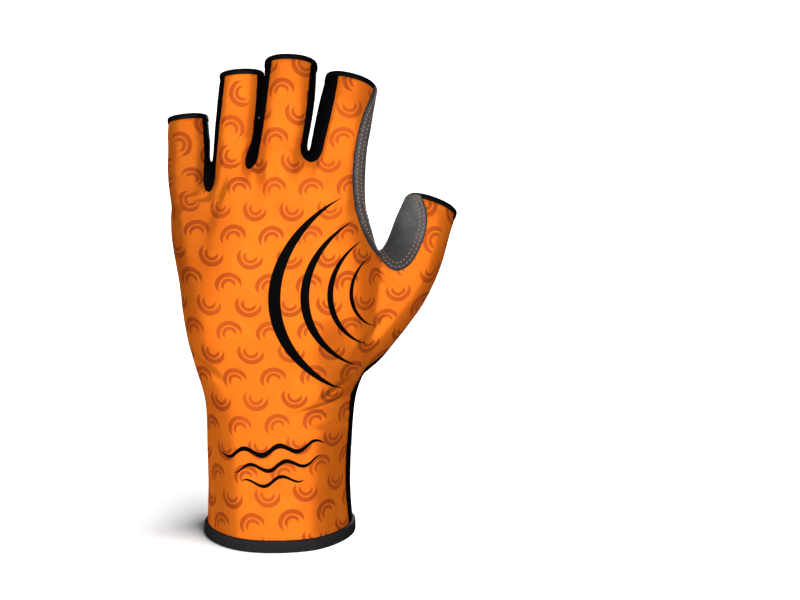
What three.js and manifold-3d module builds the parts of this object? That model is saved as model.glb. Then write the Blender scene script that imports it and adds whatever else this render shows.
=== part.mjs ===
// Fingerless fishing glove for the left hand, in the form that it has when worn.
// +Z runs to the fingertips, +X to the thumb, -Y is the back of the hand and +Y
// the palm. The origin is the middle of the cuff's mouth, on the plane of its
// lower edge. All sizes are in millimetres.

import * as THREE from 'three';
import { mergeVertices } from 'three/addons/utils/BufferGeometryUtils.js';
import Module from 'manifold-3d';

const wasm = await Module();
wasm.setup();

// Cloth, tape and the gap between neighbouring pieces
const WALL = 1.4;
const GAP = 0.3;
const PATCH_THICKNESS = 1.0;
const HEM_HEIGHT = 5.8;
const HEM_PROUD = 1.3;
const TAPE_HEIGHT = 2.2;
const TAPE_PROUD = 0.6;
const TAPE_INSIDE = 0.5;
const CLOTH_FOOT = HEM_HEIGHT + GAP;
const CLOTH_END = TAPE_HEIGHT + GAP;

// Fineness of the faceted walls
const HAND_SIDES = 32;
const DIGIT_SIDES = 16;
const DIGIT_RINGS = 5;
const FIRST_STEP = 2;
const HAND_STEPS = [21, 37, 51, 64, 74, 84, 95, 107, 119, 131, 142, 152, 161, 168, 173, 176.5, 179];

// Cross-sections of the cuff and the hand from the lower edge to the webs of the
// fingers. z is the height of a section's middle and rise how far its thumb edge
// lies above its little-finger edge. left and right are the x of the two edges,
// back and palm the half depths, full the exponent of the oval, and lift how much
// of a wall's thickness raises the section where the hand closes at the webs.
const HAND = [
  { z: 0, rise: 0, left: -36.3, right: 34.6, back: 31.0, palm: 29.0, full: 2.10, lift: 0 },
  { z: 16, rise: 0, left: -35.6, right: 33.4, back: 29.0, palm: 27.0, full: 2.10, lift: 0 },
  { z: 36, rise: 0, left: -35.3, right: 33.4, back: 26.0, palm: 25.0, full: 2.15, lift: 0 },
  { z: 56, rise: 0, left: -35.4, right: 34.8, back: 23.5, palm: 23.5, full: 2.20, lift: 0 },
  { z: 69, rise: 0, left: -36.3, right: 36.6, back: 22.2, palm: 23.0, full: 2.20, lift: 0 },
  { z: 84, rise: 0, left: -40.4, right: 42.0, back: 21.5, palm: 24.5, full: 2.25, lift: 0 },
  { z: 98, rise: 2, left: -43.4, right: 45.5, back: 21.5, palm: 25.0, full: 2.30, lift: 0 },
  { z: 114, rise: 6, left: -45.3, right: 47.5, back: 21.0, palm: 23.5, full: 2.35, lift: 0 },
  { z: 128, rise: 10, left: -46.3, right: 46.8, back: 20.0, palm: 21.5, full: 2.40, lift: 0 },
  { z: 142, rise: 13, left: -48.2, right: 43.0, back: 18.5, palm: 19.5, full: 2.45, lift: 0 },
  { z: 152, rise: 16, left: -49.3, right: 40.4, back: 16.8, palm: 17.5, full: 2.50, lift: 0 },
  { z: 160, rise: 18, left: -49.6, right: 40.2, back: 15.0, palm: 15.5, full: 2.50, lift: 0 },
  { z: 167, rise: 19, left: -49.6, right: 40.2, back: 12.8, palm: 13.8, full: 2.50, lift: 0.1 },
  { z: 172, rise: 19, left: -48.8, right: 39.6, back: 10.4, palm: 12.2, full: 2.45, lift: 0.3 },
  { z: 176, rise: 19, left: -47.3, right: 38.0, back: 7.2, palm: 9.6, full: 2.40, lift: 0.7 },
  { z: 179, rise: 19, left: -44.0, right: 35.0, back: 3.0, palm: 6.0, full: 2.30, lift: 1 },
];

// Broad dents of the worn cloth: x and z of the middle, side (-1 the back of the
// hand, +1 the palm), half length, half width, lean of the length from +X in
// degrees, and depth. A negative depth is a swelling.
const DENTS = [
  { x: 24, z: 66, side: -1, length: 22, width: 7, lean: 24, depth: 1.5 },
  { x: 14, z: 88, side: -1, length: 24, width: 9, lean: 38, depth: 1.1 },
  { x: -24, z: 80, side: -1, length: 16, width: 8, lean: -30, depth: 0.9 },
  { x: -33, z: 152, side: -1, length: 18, width: 5, lean: 84, depth: 1.5 },
  { x: -11, z: 158, side: -1, length: 16, width: 5, lean: 88, depth: 1.2 },
  { x: 14, z: 162, side: -1, length: 16, width: 5, lean: 92, depth: 1.2 },
  { x: 0, z: 120, side: 1, length: 24, width: 14, lean: 70, depth: 4.0 },
  { x: -28, z: 100, side: 1, length: 22, width: 13, lean: 96, depth: -1.6 },
  { x: -4, z: 68, side: 1, length: 26, width: 6, lean: 4, depth: 1.8 },
];

// Centre line of each finger and the thumb, from inside the hand to the open tip,
// with the width and the depth of the tube there
const DIGITS = {
  little: [
    { x: -33.0, y: 1.0, z: 132.0, width: 17.0, depth: 20.0 },
    { x: -38.5, y: -0.5, z: 152.0, width: 18.2, depth: 22.0 },
    { x: -40.6, y: -0.5, z: 169.5, width: 19.2, depth: 20.0 },
    { x: -40.4, y: 2.0, z: 185.0, width: 20.4, depth: 18.4 },
    { x: -40.9, y: 6.2, z: 198.6, width: 18.4, depth: 17.2 },
  ],
  ring: [
    { x: -15.0, y: 1.0, z: 134.0, width: 20.0, depth: 24.0 },
    { x: -18.4, y: -1.0, z: 157.0, width: 20.8, depth: 25.0 },
    { x: -19.9, y: -1.0, z: 178.0, width: 19.2, depth: 22.5 },
    { x: -18.3, y: 1.2, z: 199.0, width: 18.8, depth: 20.0 },
    { x: -16.6, y: 5.8, z: 218.2, width: 17.6, depth: 18.4 },
  ],
  middle: [
    { x: 2.0, y: 1.0, z: 134.0, width: 21.0, depth: 25.0 },
    { x: 1.6, y: -1.5, z: 159.0, width: 21.6, depth: 26.0 },
    { x: 2.5, y: -1.5, z: 181.0, width: 22.0, depth: 23.0 },
    { x: 5.3, y: 1.4, z: 204.0, width: 24.2, depth: 20.4 },
    { x: 6.9, y: 9.0, z: 224.0, width: 24.0, depth: 19.6 },
  ],
  index: [
    { x: 22.0, y: 1.0, z: 132.0, width: 24.0, depth: 25.0 },
    { x: 25.5, y: -0.5, z: 157.0, width: 26.0, depth: 26.0 },
    { x: 27.6, y: -0.5, z: 179.0, width: 26.0, depth: 23.4 },
    { x: 30.6, y: 2.4, z: 198.0, width: 25.0, depth: 21.2 },
    { x: 34.3, y: 10.2, z: 214.4, width: 24.0, depth: 20.2 },
  ],
  thumb: [
    { x: 14.0, y: 3.0, z: 68.0, width: 20.0, depth: 14.0 },
    { x: 30.5, y: 7.0, z: 93.0, width: 38.0, depth: 30.0 },
    { x: 50.0, y: 8.5, z: 113.5, width: 34.0, depth: 30.0 },
    { x: 61.6, y: 8.0, z: 129.6, width: 28.6, depth: 27.0 },
    { x: 67.4, y: 9.2, z: 145.0, width: 26.2, depth: 24.0 },
    { x: 72.0, y: 14.0, z: 156.8, width: 24.6, depth: 22.0 },
  ],
};
const DIGIT_FULLNESS = 2.25;

// Strips between neighbouring fingers: the two fingers, the lowest point of the
// strip on the back of the hand, and how far its edges stand from the mid plane
const STRIPS = [
  { name: 'index_middle', from: 'middle', to: 'index', x: 16.6, z: 180.4, halfFrom: 6.6, halfTo: 8.8 },
  { name: 'middle_ring', from: 'ring', to: 'middle', x: -11.6, z: 176.6, halfFrom: 6.4, halfTo: 6.6 },
  { name: 'ring_little', from: 'little', to: 'ring', x: -31.7, z: 167.2, halfFrom: 5.8, halfTo: 6.4 },
];
const STRIP_HALF_WIDTH = 2.1;
const STRIP_BEYOND_TIP = 12;
const STRIP_SECTIONS = 6;
const STRIP_WIDENING = 3;
const STRIP_SIDE_START = 1;
const STRIP_FOOT_STEPS = 6;

// Side seam between the back and the palm: its y on the little-finger side, on the
// thumb side of the cuff and on the thumb, and the curl that it shares with the tips
const SEAM_LITTLE = 2.5;
const SEAM_CUFF = -6.0;
const SEAM_THUMB = 9.0;
const CURL_START = 172;
const CURL_LENGTH = 50;
const CURL_DEPTH = 9.5;
const CURL_POWER = 1.6;
const SEAM_GRID = { left: -75, right: 105, low: -20, high: 250, columns: 12, rows: 18 };

// Outlines in x and z, each smooth through its points
const THENAR_OVAL = [
  [41, 131], [49.5, 126], [52, 115], [47, 94], [31, 83], [19.5, 90], [15.5, 102], [26, 120],
];
const SUEDE_EDGE = [
  [60, 242], [53, 192], [45, 162], [34, 153], [23, 152.5], [-4, 143], [-18, 137], [-20.5, 131],
  [-15.8, 115], [-8, 100], [-9.5, 93], [-27.4, 80], [-35, 79.5], [-46, 94], [-62, 98],
];
const PLAIN_EDGE = [[-7.8, 242], [-8.6, 202], [-9.6, 184], [-13, 170], [-24, 160], [-48, 148], [-64, 144]];
const CROTCH_BACK_EDGE = [[47, 228], [44.8, 213], [39.6, 200], [36.4, 186], [35.3, 170], [37.4, 155], [43, 141],
  [50, 131.5], [56, 129], [62.5, 133], [68, 144], [69.6, 154], [67, 163], [62, 174]];
const CROTCH_PALM_EDGE = [[37, 228], [34.5, 208], [31.8, 189], [31.3, 171], [33.6, 154], [42, 145],
  [48.5, 136], [53.5, 135.5], [58, 148], [63, 162], [64, 174]];

// How far the spaces that cut the skin reach past it: below the cuff, beyond the
// tips, out of the back and the palm, and to the outer corners in x and z
const BELOW = 9;
const BEYOND = 6;
const PATCH_BELOW = 4;
const BACK_REACH = -70;
const PALM_REACH = 60;
const PALM_START = -5;
const THENAR_START = 4;
const OUTER = { left: -80, right: 60, low: 142, high: 260, plainRight: -8 };
const CROTCH_CORNER = [62, 230];
const CROTCH_OVERLAP = 0.05;
const CURVE_STEPS = { suede: 28, plain: 14, thenar: 22, crotchBack: 24, crotchPalm: 20 };

const COLOURS = {
  printedOrange: { color: 0xf57a1c, roughness: 0.75 },
  plainOrange: { color: 0xfb7e28, roughness: 0.75 },
  blackStretch: { color: 0x0c0a0e, roughness: 0.8 },
  greySuede: { color: 0x616062, roughness: 0.95 },
  darkHem: { color: 0x232124, roughness: 0.85 },
  blackTape: { color: 0x0a080c, roughness: 0.7 },
};

// A smooth step from 0 to 1 while value goes from start to end
function ease(value, start, end) {
  return THREE.MathUtils.smoothstep(value, start, end);
}

// A value on the smooth curve through one column of a table, at a place counted in rows
function column(rows, key, place) {
  const row = Math.min(Math.max(Math.floor(place), 0), rows.length - 2);
  const at = (index) => rows[Math.min(Math.max(index, 0), rows.length - 1)][key];
  const share = place - row;
  const inward = (at(row + 1) - at(row - 1)) / 2;
  const outward = (at(row + 2) - at(row)) / 2;
  const share2 = share * share;
  const share3 = share2 * share;
  return (2 * share3 - 3 * share2 + 1) * at(row) + (share3 - 2 * share2 + share) * inward
    + (3 * share2 - 2 * share3) * at(row + 1) + (share3 - share2) * outward;
}

// The place in a table at which its column reaches a value, for a column that grows
function placeOf(rows, key, value) {
  let low = 0;
  let high = rows.length - 1;
  for (let round = 0; round < 40; round += 1) {
    const middle = (low + high) / 2;
    if (column(rows, key, middle) < value) low = middle;
    else high = middle;
  }
  return (low + high) / 2;
}

// A point of an oval of the given exponent, both coordinates from -1 to 1
function ovalPoint(angle, full) {
  const across = Math.cos(angle);
  const along = Math.sin(angle);
  return [Math.sign(across) * Math.abs(across) ** (2 / full), Math.sign(along) * Math.abs(along) ** (2 / full)];
}

// How deep the dents press the cloth in at a place on the back (-1) or the palm (+1)
function dentDepth(x, z, side) {
  let depth = 0;
  for (const dent of DENTS.filter((row) => row.side === side)) {
    const lean = THREE.MathUtils.degToRad(dent.lean);
    const along = (x - dent.x) * Math.cos(lean) + (z - dent.z) * Math.sin(lean);
    const across = (z - dent.z) * Math.cos(lean) - (x - dent.x) * Math.sin(lean);
    depth += dent.depth * Math.exp(-((along / dent.length) ** 2) - (across / dent.width) ** 2);
  }
  return depth;
}

// A ring of the hand at a height, moved out from the cloth's face by offset
function handRing(height, offset) {
  const place = placeOf(HAND, 'z', height);
  const at = (key) => column(HAND, key, place);
  const middle = (at('left') + at('right')) / 2;
  const half = (at('right') - at('left')) / 2;
  const ring = [];
  for (let side = 0; side < HAND_SIDES; side += 1) {
    const [across, along] = ovalPoint((2 * Math.PI * side) / HAND_SIDES, at('full'));
    const x = middle + across * (half + offset);
    const z = height + (across * at('rise')) / 2 + at('lift') * offset;
    const face = along < 0 ? -1 : 1;
    const depth = (face < 0 ? at('back') : at('palm')) + offset;
    ring.push(new THREE.Vector3(x, along * (depth - dentDepth(x, z, face)), z));
  }
  return ring;
}

// A ring of a digit, at a distance before its open end (past it when negative)
function digitRing(rows, beforeTip, offset) {
  const line = new THREE.CatmullRomCurve3(rows.map((row) => new THREE.Vector3(row.x, row.y, row.z)));
  const share = 1 - Math.max(beforeTip, 0) / line.getLength();
  const place = line.getUtoTmapping(share) * (rows.length - 1);
  const tangent = line.getTangentAt(share);
  const centre = line.getPointAt(share).addScaledVector(tangent, Math.max(-beforeTip, 0));
  const wide = new THREE.Vector3(0, 1, 0).cross(tangent).normalize();
  const deep = new THREE.Vector3().crossVectors(tangent, wide);
  const halfWidth = column(rows, 'width', place) / 2 + offset;
  const halfDepth = column(rows, 'depth', place) / 2 + offset;
  const ring = [];
  for (let side = 0; side < DIGIT_SIDES; side += 1) {
    const [across, along] = ovalPoint((2 * Math.PI * side) / DIGIT_SIDES, DIGIT_FULLNESS);
    ring.push(centre.clone().addScaledVector(wide, across * halfWidth).addScaledVector(deep, along * halfDepth));
  }
  return ring;
}

// The middle of a digit at a height
function digitMiddle(rows, height) {
  const place = placeOf(rows, 'z', height);
  return { x: column(rows, 'x', place), y: column(rows, 'y', place) };
}

// A closed geometry through rings of equal count, with a fan at each end
function loft(rings) {
  const sides = rings[0].length;
  const points = rings.flat();
  const ends = [rings[0], rings.at(-1)].map((ring) => {
    const middle = new THREE.Vector3();
    ring.forEach((point) => middle.addScaledVector(point, 1 / sides));
    return points.push(middle) - 1;
  });
  const faces = [];
  for (let side = 0; side < sides; side += 1) {
    const next = (side + 1) % sides;
    for (let ring = 0; ring < rings.length - 1; ring += 1) {
      const low = ring * sides;
      const high = low + sides;
      faces.push(low + side, low + next, high + next, low + side, high + next, high + side);
    }
    const last = (rings.length - 1) * sides;
    faces.push(ends[0], next, side, ends[1], last + side, last + next);
  }
  const geometry = new THREE.BufferGeometry().setFromPoints(points);
  geometry.setIndex(faces);
  return geometry;
}

// A solid for joining and cutting, made from a closed geometry
function solid(geometry) {
  geometry.deleteAttribute('normal');
  geometry.deleteAttribute('uv');
  const merged = mergeVertices(geometry);
  return new wasm.Manifold(new wasm.Mesh({
    numProp: 3,
    vertProperties: new Float32Array(merged.attributes.position.array),
    triVerts: new Uint32Array(merged.index.array),
  }));
}

// The hand's solid between two heights; a foot below 0 repeats the lowest section
function handSolid(offset, from, foot = from) {
  const heights = [from, ...HAND_STEPS.filter((height) => height > from + FIRST_STEP)];
  const rings = heights.map((height) => handRing(height, offset));
  if (foot < from) rings.unshift(handRing(from, offset).map((point) => point.clone().setZ(foot)));
  return solid(loft(rings));
}

// A digit's solid from its root to a distance before its open end
function digitSolid(rows, offset, beforeTip) {
  const length = new THREE.CatmullRomCurve3(rows.map((row) => new THREE.Vector3(row.x, row.y, row.z))).getLength();
  const rings = [];
  for (let ring = 0; ring <= DIGIT_RINGS; ring += 1) {
    rings.push(digitRing(rows, length + ((Math.max(beforeTip, 0) - length) * ring) / DIGIT_RINGS, offset));
  }
  if (beforeTip < 0) rings.push(digitRing(rows, beforeTip, offset));
  return solid(loft(rings));
}

// The whole form: the hand and all digits as one solid
function form(offset, from, foot, beforeTip) {
  return Object.values(DIGITS).reduce(
    (whole, rows) => whole.add(digitSolid(rows, offset, beforeTip)),
    handSolid(offset, from, foot),
  );
}

// The y of the seam that parts the back from the palm
function seamDepth(x, z) {
  const thumb = ease(x, 26, 46) * ease(z, 78, 100) * (1 - ease(z, 160, 174));
  const cuff = ease(x, 2, 24) * (1 - ease(z, 68, 96));
  const curl = CURL_DEPTH * Math.max(0, (z - CURL_START) / CURL_LENGTH) ** CURL_POWER;
  return SEAM_LITTLE + curl + thumb * (SEAM_THUMB - SEAM_LITTLE) + cuff * (SEAM_CUFF - SEAM_LITTLE);
}

// The space on the back of the seam, up to away beyond it on the palm side
function backOfSeam(away) {
  const { left, right, low, high, columns, rows } = SEAM_GRID;
  const rings = [];
  for (let row = 0; row <= rows; row += 1) {
    const z = low + ((high - low) * row) / rows;
    const near = [];
    for (let step = 0; step <= columns; step += 1) {
      const x = right - ((right - left) * step) / columns;
      near.push(new THREE.Vector3(x, seamDepth(x, z) + away, z));
    }
    rings.push([...near, ...[near.at(-1), near[0]].map((point) => point.clone().setY(BACK_REACH))]);
  }
  return solid(loft(rings));
}

// A prism along Y over a closed outline in x and z, between two depths
function prism(outline, from, to) {
  const shape = new THREE.Shape(outline.map(([x, z]) => new THREE.Vector2(x, z)));
  const geometry = new THREE.ExtrudeGeometry(shape, { depth: to - from, bevelEnabled: false });
  return solid(geometry.rotateX(Math.PI / 2).translate(0, to, 0));
}

// Points of the smooth curve through an outline's points
function smooth(points, closed, steps) {
  const curve = new THREE.CatmullRomCurve3(points.map(([x, z]) => new THREE.Vector3(x, 0, z)), closed);
  const line = curve.getSpacedPoints(steps).map((point) => [point.x, point.z]);
  return closed ? line.slice(0, -1) : line;
}

// A line in x and z moved sideways, to the left of its direction
function shifted(line, away) {
  return line.map(([x, z], index) => {
    const before = line[Math.max(index - 1, 0)];
    const after = line[Math.min(index + 1, line.length - 1)];
    const length = Math.hypot(after[0] - before[0], after[1] - before[1]);
    return [x - ((after[1] - before[1]) / length) * away, z + ((after[0] - before[0]) / length) * away];
  });
}

// The space of a strip between two fingers, grown by margin on all sides
function stripSpace(strip, margin) {
  const [from, to] = [DIGITS[strip.from], DIGITS[strip.to]];
  const top = Math.max(from.at(-1).z, to.at(-1).z) + STRIP_BEYOND_TIP;
  const bottom = strip.z + STRIP_SIDE_START;
  const half = STRIP_HALF_WIDTH + margin;
  const rings = [];
  const rightSide = [];
  const leftSide = [];
  for (let step = 0; step <= STRIP_SECTIONS; step += 1) {
    const z = bottom - margin + ((top - bottom) * step) / STRIP_SECTIONS;
    const a = digitMiddle(from, Math.min(z, from.at(-1).z));
    const b = digitMiddle(to, Math.min(z, to.at(-1).z));
    const gapA = a.x + column(from, 'width', placeOf(from, 'z', z)) / 2;
    const gapB = b.x - column(to, 'width', placeOf(to, 'z', z)) / 2;
    const middle = step === 0 ? strip.x : (gapA + gapB) / 2;
    const share = Math.min(1, step / STRIP_WIDENING);
    rings.push([
      new THREE.Vector3(a.x + 1, a.y + strip.halfFrom + margin, z),
      new THREE.Vector3(a.x + 1, a.y - strip.halfFrom - margin, z),
      new THREE.Vector3(b.x - 1, b.y - strip.halfFrom - (strip.halfTo - strip.halfFrom) * share - margin, z),
      new THREE.Vector3(b.x - 1, b.y + strip.halfTo + margin, z),
    ]);
    rightSide.push([middle + half, z]);
    leftSide.unshift([middle - half, z]);
  }
  const foot = [];
  for (let step = 1; step < STRIP_FOOT_STEPS; step += 1) {
    const angle = Math.PI + (Math.PI * step) / STRIP_FOOT_STEPS;
    foot.push([strip.x + half * Math.cos(angle), strip.z + half + (half + margin) * Math.sin(angle)]);
  }
  return solid(loft(rings)).add(prism([...foot, ...rightSide, ...leftSide], BACK_REACH, PALM_REACH));
}

// A mesh of its own node with its finish
function mesh(name, shape, finish) {
  const made = shape.getMesh();
  const geometry = new THREE.BufferGeometry();
  geometry.setAttribute('position', new THREE.BufferAttribute(made.vertProperties, 3));
  geometry.setIndex(new THREE.BufferAttribute(made.triVerts, 1));
  geometry.computeVertexNormals();
  const result = new THREE.Mesh(geometry, new THREE.MeshStandardMaterial({ ...finish, metalness: 0 }));
  result.name = name;
  return result;
}

const half = GAP / 2;

// The whole skin of cloth, open at the cuff and at the five tips
const hollow = form(-WALL, CLOTH_FOOT, -BELOW, -BEYOND);
const skin = form(0, CLOTH_FOOT, CLOTH_FOOT, CLOTH_END).subtract(hollow);

// The spaces that part the skin into its panels
const strips = STRIPS.map((strip) => ({
  name: strip.name,
  inside: stripSpace(strip, -half),
  around: stripSpace(strip, half),
}));
const suedeLine = smooth(SUEDE_EDGE, false, CURVE_STEPS.suede);
const plainLine = smooth(PLAIN_EDGE, false, CURVE_STEPS.plain);
const suedeCorners = [[OUTER.left, OUTER.high], [OUTER.right, OUTER.high]];
const plainCorners = [[OUTER.left, OUTER.low], [OUTER.left, OUTER.high], [OUTER.plainRight, OUTER.high]];
const palmPrism = (outline) => prism(outline.reverse(), PALM_START, PALM_REACH);
const aboveSuede = (away) => palmPrism([...shifted(suedeLine, away), ...suedeCorners]);
const outsidePlain = (away) => palmPrism([...shifted(plainLine, away), ...plainCorners]);

const panels = strips.reduce((rest, strip) => rest.subtract(strip.around), skin);
const palmSide = panels.subtract(backOfSeam(half));
const suedeSide = palmSide.intersect(aboveSuede(-half)).subtract(outsidePlain(half));

// The patches lie on the skin, a gap above it
const patchLayer = form(GAP + PATCH_THICKNESS, CLOTH_FOOT, CLOTH_FOOT, CLOTH_END)
  .subtract(form(GAP, CLOTH_FOOT - PATCH_BELOW, CLOTH_FOOT - PATCH_BELOW, -BEYOND));
const thenarSpace = prism(smooth(THENAR_OVAL, true, CURVE_STEPS.thenar).reverse(), THENAR_START, PALM_REACH);
const crotchBackLine = [...smooth(CROTCH_BACK_EDGE, false, CURVE_STEPS.crotchBack), CROTCH_CORNER];
const crotchPalmLine = [...smooth(CROTCH_PALM_EDGE, false, CURVE_STEPS.crotchPalm), CROTCH_CORNER];
const crotchBack = prism(crotchBackLine, BACK_REACH, PALM_REACH).intersect(backOfSeam(CROTCH_OVERLAP));
const crotchPalm = prism(crotchPalmLine, BACK_REACH, PALM_REACH).subtract(backOfSeam(-CROTCH_OVERLAP));

const glove = new THREE.Group();
glove.add(mesh('back_panel', panels.intersect(backOfSeam(-half)), COLOURS.printedOrange));
glove.add(mesh('palm_panel', palmSide.subtract(aboveSuede(half)), COLOURS.blackStretch));
glove.add(mesh('suede_palm_panel', suedeSide, COLOURS.greySuede));
glove.add(mesh('plain_palm_panel', palmSide.intersect(outsidePlain(-half)), COLOURS.plainOrange));
for (const strip of strips) {
  glove.add(mesh(`finger_strip_${strip.name}`, skin.intersect(strip.inside), COLOURS.blackStretch));
}
glove.add(mesh('thenar_patch', patchLayer.intersect(thenarSpace), COLOURS.greySuede));
glove.add(mesh('crotch_patch', patchLayer.intersect(crotchBack.add(crotchPalm)), COLOURS.greySuede));

// Tape round each open tip
for (const [name, rows] of Object.entries(DIGITS)) {
  const ring = (place, offset) => digitRing(rows, place, offset);
  const outer = solid(loft([ring(TAPE_HEIGHT, TAPE_PROUD), ring(0, TAPE_PROUD)]));
  const inner = solid(loft([ring(TAPE_HEIGHT + BEYOND, -WALL - TAPE_INSIDE), ring(-BEYOND, -WALL - TAPE_INSIDE)]));
  glove.add(mesh(`tip_tape_${name}`, outer.subtract(inner), COLOURS.blackTape));
}

// Hem round the cuff's mouth
const hemOuter = solid(loft([0, HEM_HEIGHT / 2, HEM_HEIGHT].map((height) => handRing(height, HEM_PROUD))));
const hemInner = solid(loft([-BELOW, HEM_HEIGHT + BELOW].map((height) => handRing(HEM_HEIGHT, -WALL - TAPE_INSIDE)
  .map((point) => point.clone().setZ(height)))));
glove.add(mesh('cuff_hem', hemOuter.subtract(hemInner), COLOURS.darkHem));

export default glove;
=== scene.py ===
"""Looks of a fingerless fishing glove for the left hand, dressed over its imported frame.

The frame holds every cut piece of the glove as a plain wall. Here the same worn form is
made once more as one fine skin, which is dented, creased and cut along the seams into the
pieces of cloth. Suede patches, stitches, tip tapes and the hem are then laid on it.

Tables and surfaces are in millimetres, in the frame's own axes: +Z to the fingertips, +X
to the thumb, -Y out of the back of the hand. Objects are in metres.
"""

from __future__ import annotations

import logging
import math
from dataclasses import astuple, dataclass, field
from enum import Enum

import bmesh
import bpy
import numpy as np
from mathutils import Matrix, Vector, noise
from mathutils.kdtree import KDTree


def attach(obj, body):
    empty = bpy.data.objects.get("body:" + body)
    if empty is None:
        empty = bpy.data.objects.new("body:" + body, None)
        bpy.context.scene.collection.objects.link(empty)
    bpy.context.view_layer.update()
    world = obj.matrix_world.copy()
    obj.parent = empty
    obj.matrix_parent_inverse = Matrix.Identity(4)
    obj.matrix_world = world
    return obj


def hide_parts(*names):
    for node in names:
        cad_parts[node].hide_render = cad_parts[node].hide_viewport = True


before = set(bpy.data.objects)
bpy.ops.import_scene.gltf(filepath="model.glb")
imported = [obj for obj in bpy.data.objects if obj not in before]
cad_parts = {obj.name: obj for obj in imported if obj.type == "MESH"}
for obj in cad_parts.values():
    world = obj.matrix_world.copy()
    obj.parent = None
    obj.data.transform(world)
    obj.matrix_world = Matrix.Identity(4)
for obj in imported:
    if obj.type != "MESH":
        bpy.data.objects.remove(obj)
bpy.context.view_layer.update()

Material = bpy.types.Material
Object = bpy.types.Object
Socket = bpy.types.NodeSocket
Colour = tuple[float, float, float, float]
Outline = tuple[tuple[float, float], ...]
Place = tuple[float, float, float]

LOG = logging.getLogger("glove")
METRE = 0.001
NEAR_LINE = 0.15  # share of an edge within which a point moves onto a cut instead of splitting the edge


@dataclass(frozen=True)
class Level:
    """One cross-section of the cuff or the hand.

    z is the height of its middle and rise how far its thumb edge lies above its
    little-finger edge. left and right are the x of the edges, back and palm the half
    depths, and full the exponent of the oval.
    """

    z: float
    rise: float
    left: float
    right: float
    back: float
    palm: float
    full: float


@dataclass(frozen=True)
class Station:
    """One place on a digit's centre line, with the tube's width and depth there."""

    x: float
    y: float
    z: float
    width: float
    depth: float


@dataclass(frozen=True)
class Rim:
    """How a digit's open end is cut, in degrees.

    fall lowers its thumb side, and tilt raises its back over a square cut.
    """

    fall: float
    tilt: float


@dataclass(frozen=True)
class Crease:
    """A dent or a fold of the worn cloth.

    x and z are its middle, side is -1 on the back and +1 on the palm, length and width
    are half sizes, lean turns the length from +X in degrees, and depth is how far it
    sinks. A sharp one has a raised lip on each side.
    """

    x: float
    z: float
    side: int
    length: float
    width: float
    lean: float
    depth: float
    sharp: bool = False


class Digit(Enum):
    """The digits, in order from the outer edge of the hand."""

    LITTLE = "little"
    RING = "ring"
    MIDDLE = "middle"
    INDEX = "index"
    THUMB = "thumb"


HAND = (
    Level(0, 0, -36.3, 34.6, 31.0, 29.0, 2.10),
    Level(16, 0, -35.6, 33.4, 29.0, 27.0, 2.10),
    Level(36, 0, -35.3, 33.4, 26.0, 25.0, 2.15),
    Level(56, 0, -35.4, 34.8, 23.5, 23.5, 2.20),
    Level(69, 0, -36.3, 36.6, 22.2, 23.0, 2.20),
    Level(84, 0, -40.4, 42.0, 21.5, 24.5, 2.25),
    Level(98, 2, -43.4, 45.5, 21.5, 25.0, 2.30),
    Level(114, 6, -45.3, 47.5, 21.0, 23.5, 2.35),
    Level(128, 10, -46.3, 46.8, 20.0, 21.5, 2.40),
    Level(142, 13, -48.2, 43.0, 18.5, 19.5, 2.45),
    Level(152, 16, -49.3, 40.4, 16.8, 17.5, 2.50),
    Level(160, 18, -49.6, 40.2, 15.0, 15.5, 2.50),
    Level(167, 19, -49.6, 40.2, 12.8, 13.8, 2.50),
    Level(172, 19, -48.8, 39.6, 10.4, 12.2, 2.45),
    Level(176, 19, -47.3, 38.0, 7.2, 9.6, 2.40),
    Level(179, 19, -44.0, 35.0, 3.0, 6.0, 2.30),
)

DIGITS = {
    Digit.LITTLE: (
        Station(-33.0, 1.0, 132.0, 17.0, 20.0),
        Station(-38.5, -0.5, 152.0, 18.2, 22.0),
        Station(-40.6, -0.5, 169.5, 19.2, 20.0),
        Station(-40.4, 2.0, 185.0, 20.4, 18.4),
        Station(-40.9, 6.2, 198.9, 18.4, 17.2),
    ),
    Digit.RING: (
        Station(-15.0, 1.0, 134.0, 20.0, 24.0),
        Station(-18.4, -1.0, 157.0, 20.8, 25.0),
        Station(-19.2, -1.0, 178.0, 20.6, 22.5),
        Station(-17.5, 1.2, 199.0, 20.4, 20.0),
        Station(-15.5, 5.8, 218.9, 19.6, 18.4),
    ),
    Digit.MIDDLE: (
        Station(2.0, 1.0, 134.0, 21.0, 25.0),
        Station(1.6, -1.5, 159.0, 21.6, 26.0),
        Station(2.3, -1.5, 181.0, 22.8, 23.0),
        Station(5.2, 1.4, 204.0, 24.6, 20.4),
        Station(6.9, 9.0, 223.4, 24.0, 19.6),
    ),
    Digit.INDEX: (
        Station(22.0, 1.0, 132.0, 24.0, 25.0),
        Station(25.5, -0.5, 157.0, 26.0, 26.0),
        Station(27.6, -0.5, 179.0, 26.0, 23.4),
        Station(30.6, 2.4, 198.0, 25.0, 21.2),
        Station(34.3, 10.2, 214.7, 24.0, 20.2),
    ),
    Digit.THUMB: (
        Station(14.0, 3.0, 68.0, 20.0, 14.0),
        Station(30.5, 7.0, 93.0, 38.0, 30.0),
        Station(50.0, 8.5, 113.5, 34.0, 30.0),
        Station(61.6, 8.0, 129.6, 28.6, 27.0),
        Station(67.4, 9.2, 145.0, 26.2, 24.0),
        Station(72.0, 14.0, 156.8, 24.6, 22.0),
    ),
}
DIGIT_FULLNESS = 2.25
SPREAD_PLACES = {Digit.LITTLE: -1.5, Digit.RING: -0.5, Digit.MIDDLE: 0.5, Digit.INDEX: 1.5}
RIMS = {
    Digit.LITTLE: Rim(-5.9, 2.0),
    Digit.RING: Rim(-3.9, 7.0),
    Digit.MIDDLE: Rim(2.2, 10.0),
    Digit.INDEX: Rim(15.5, 6.0),
    Digit.THUMB: Rim(21.0, 9.0),
}

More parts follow.
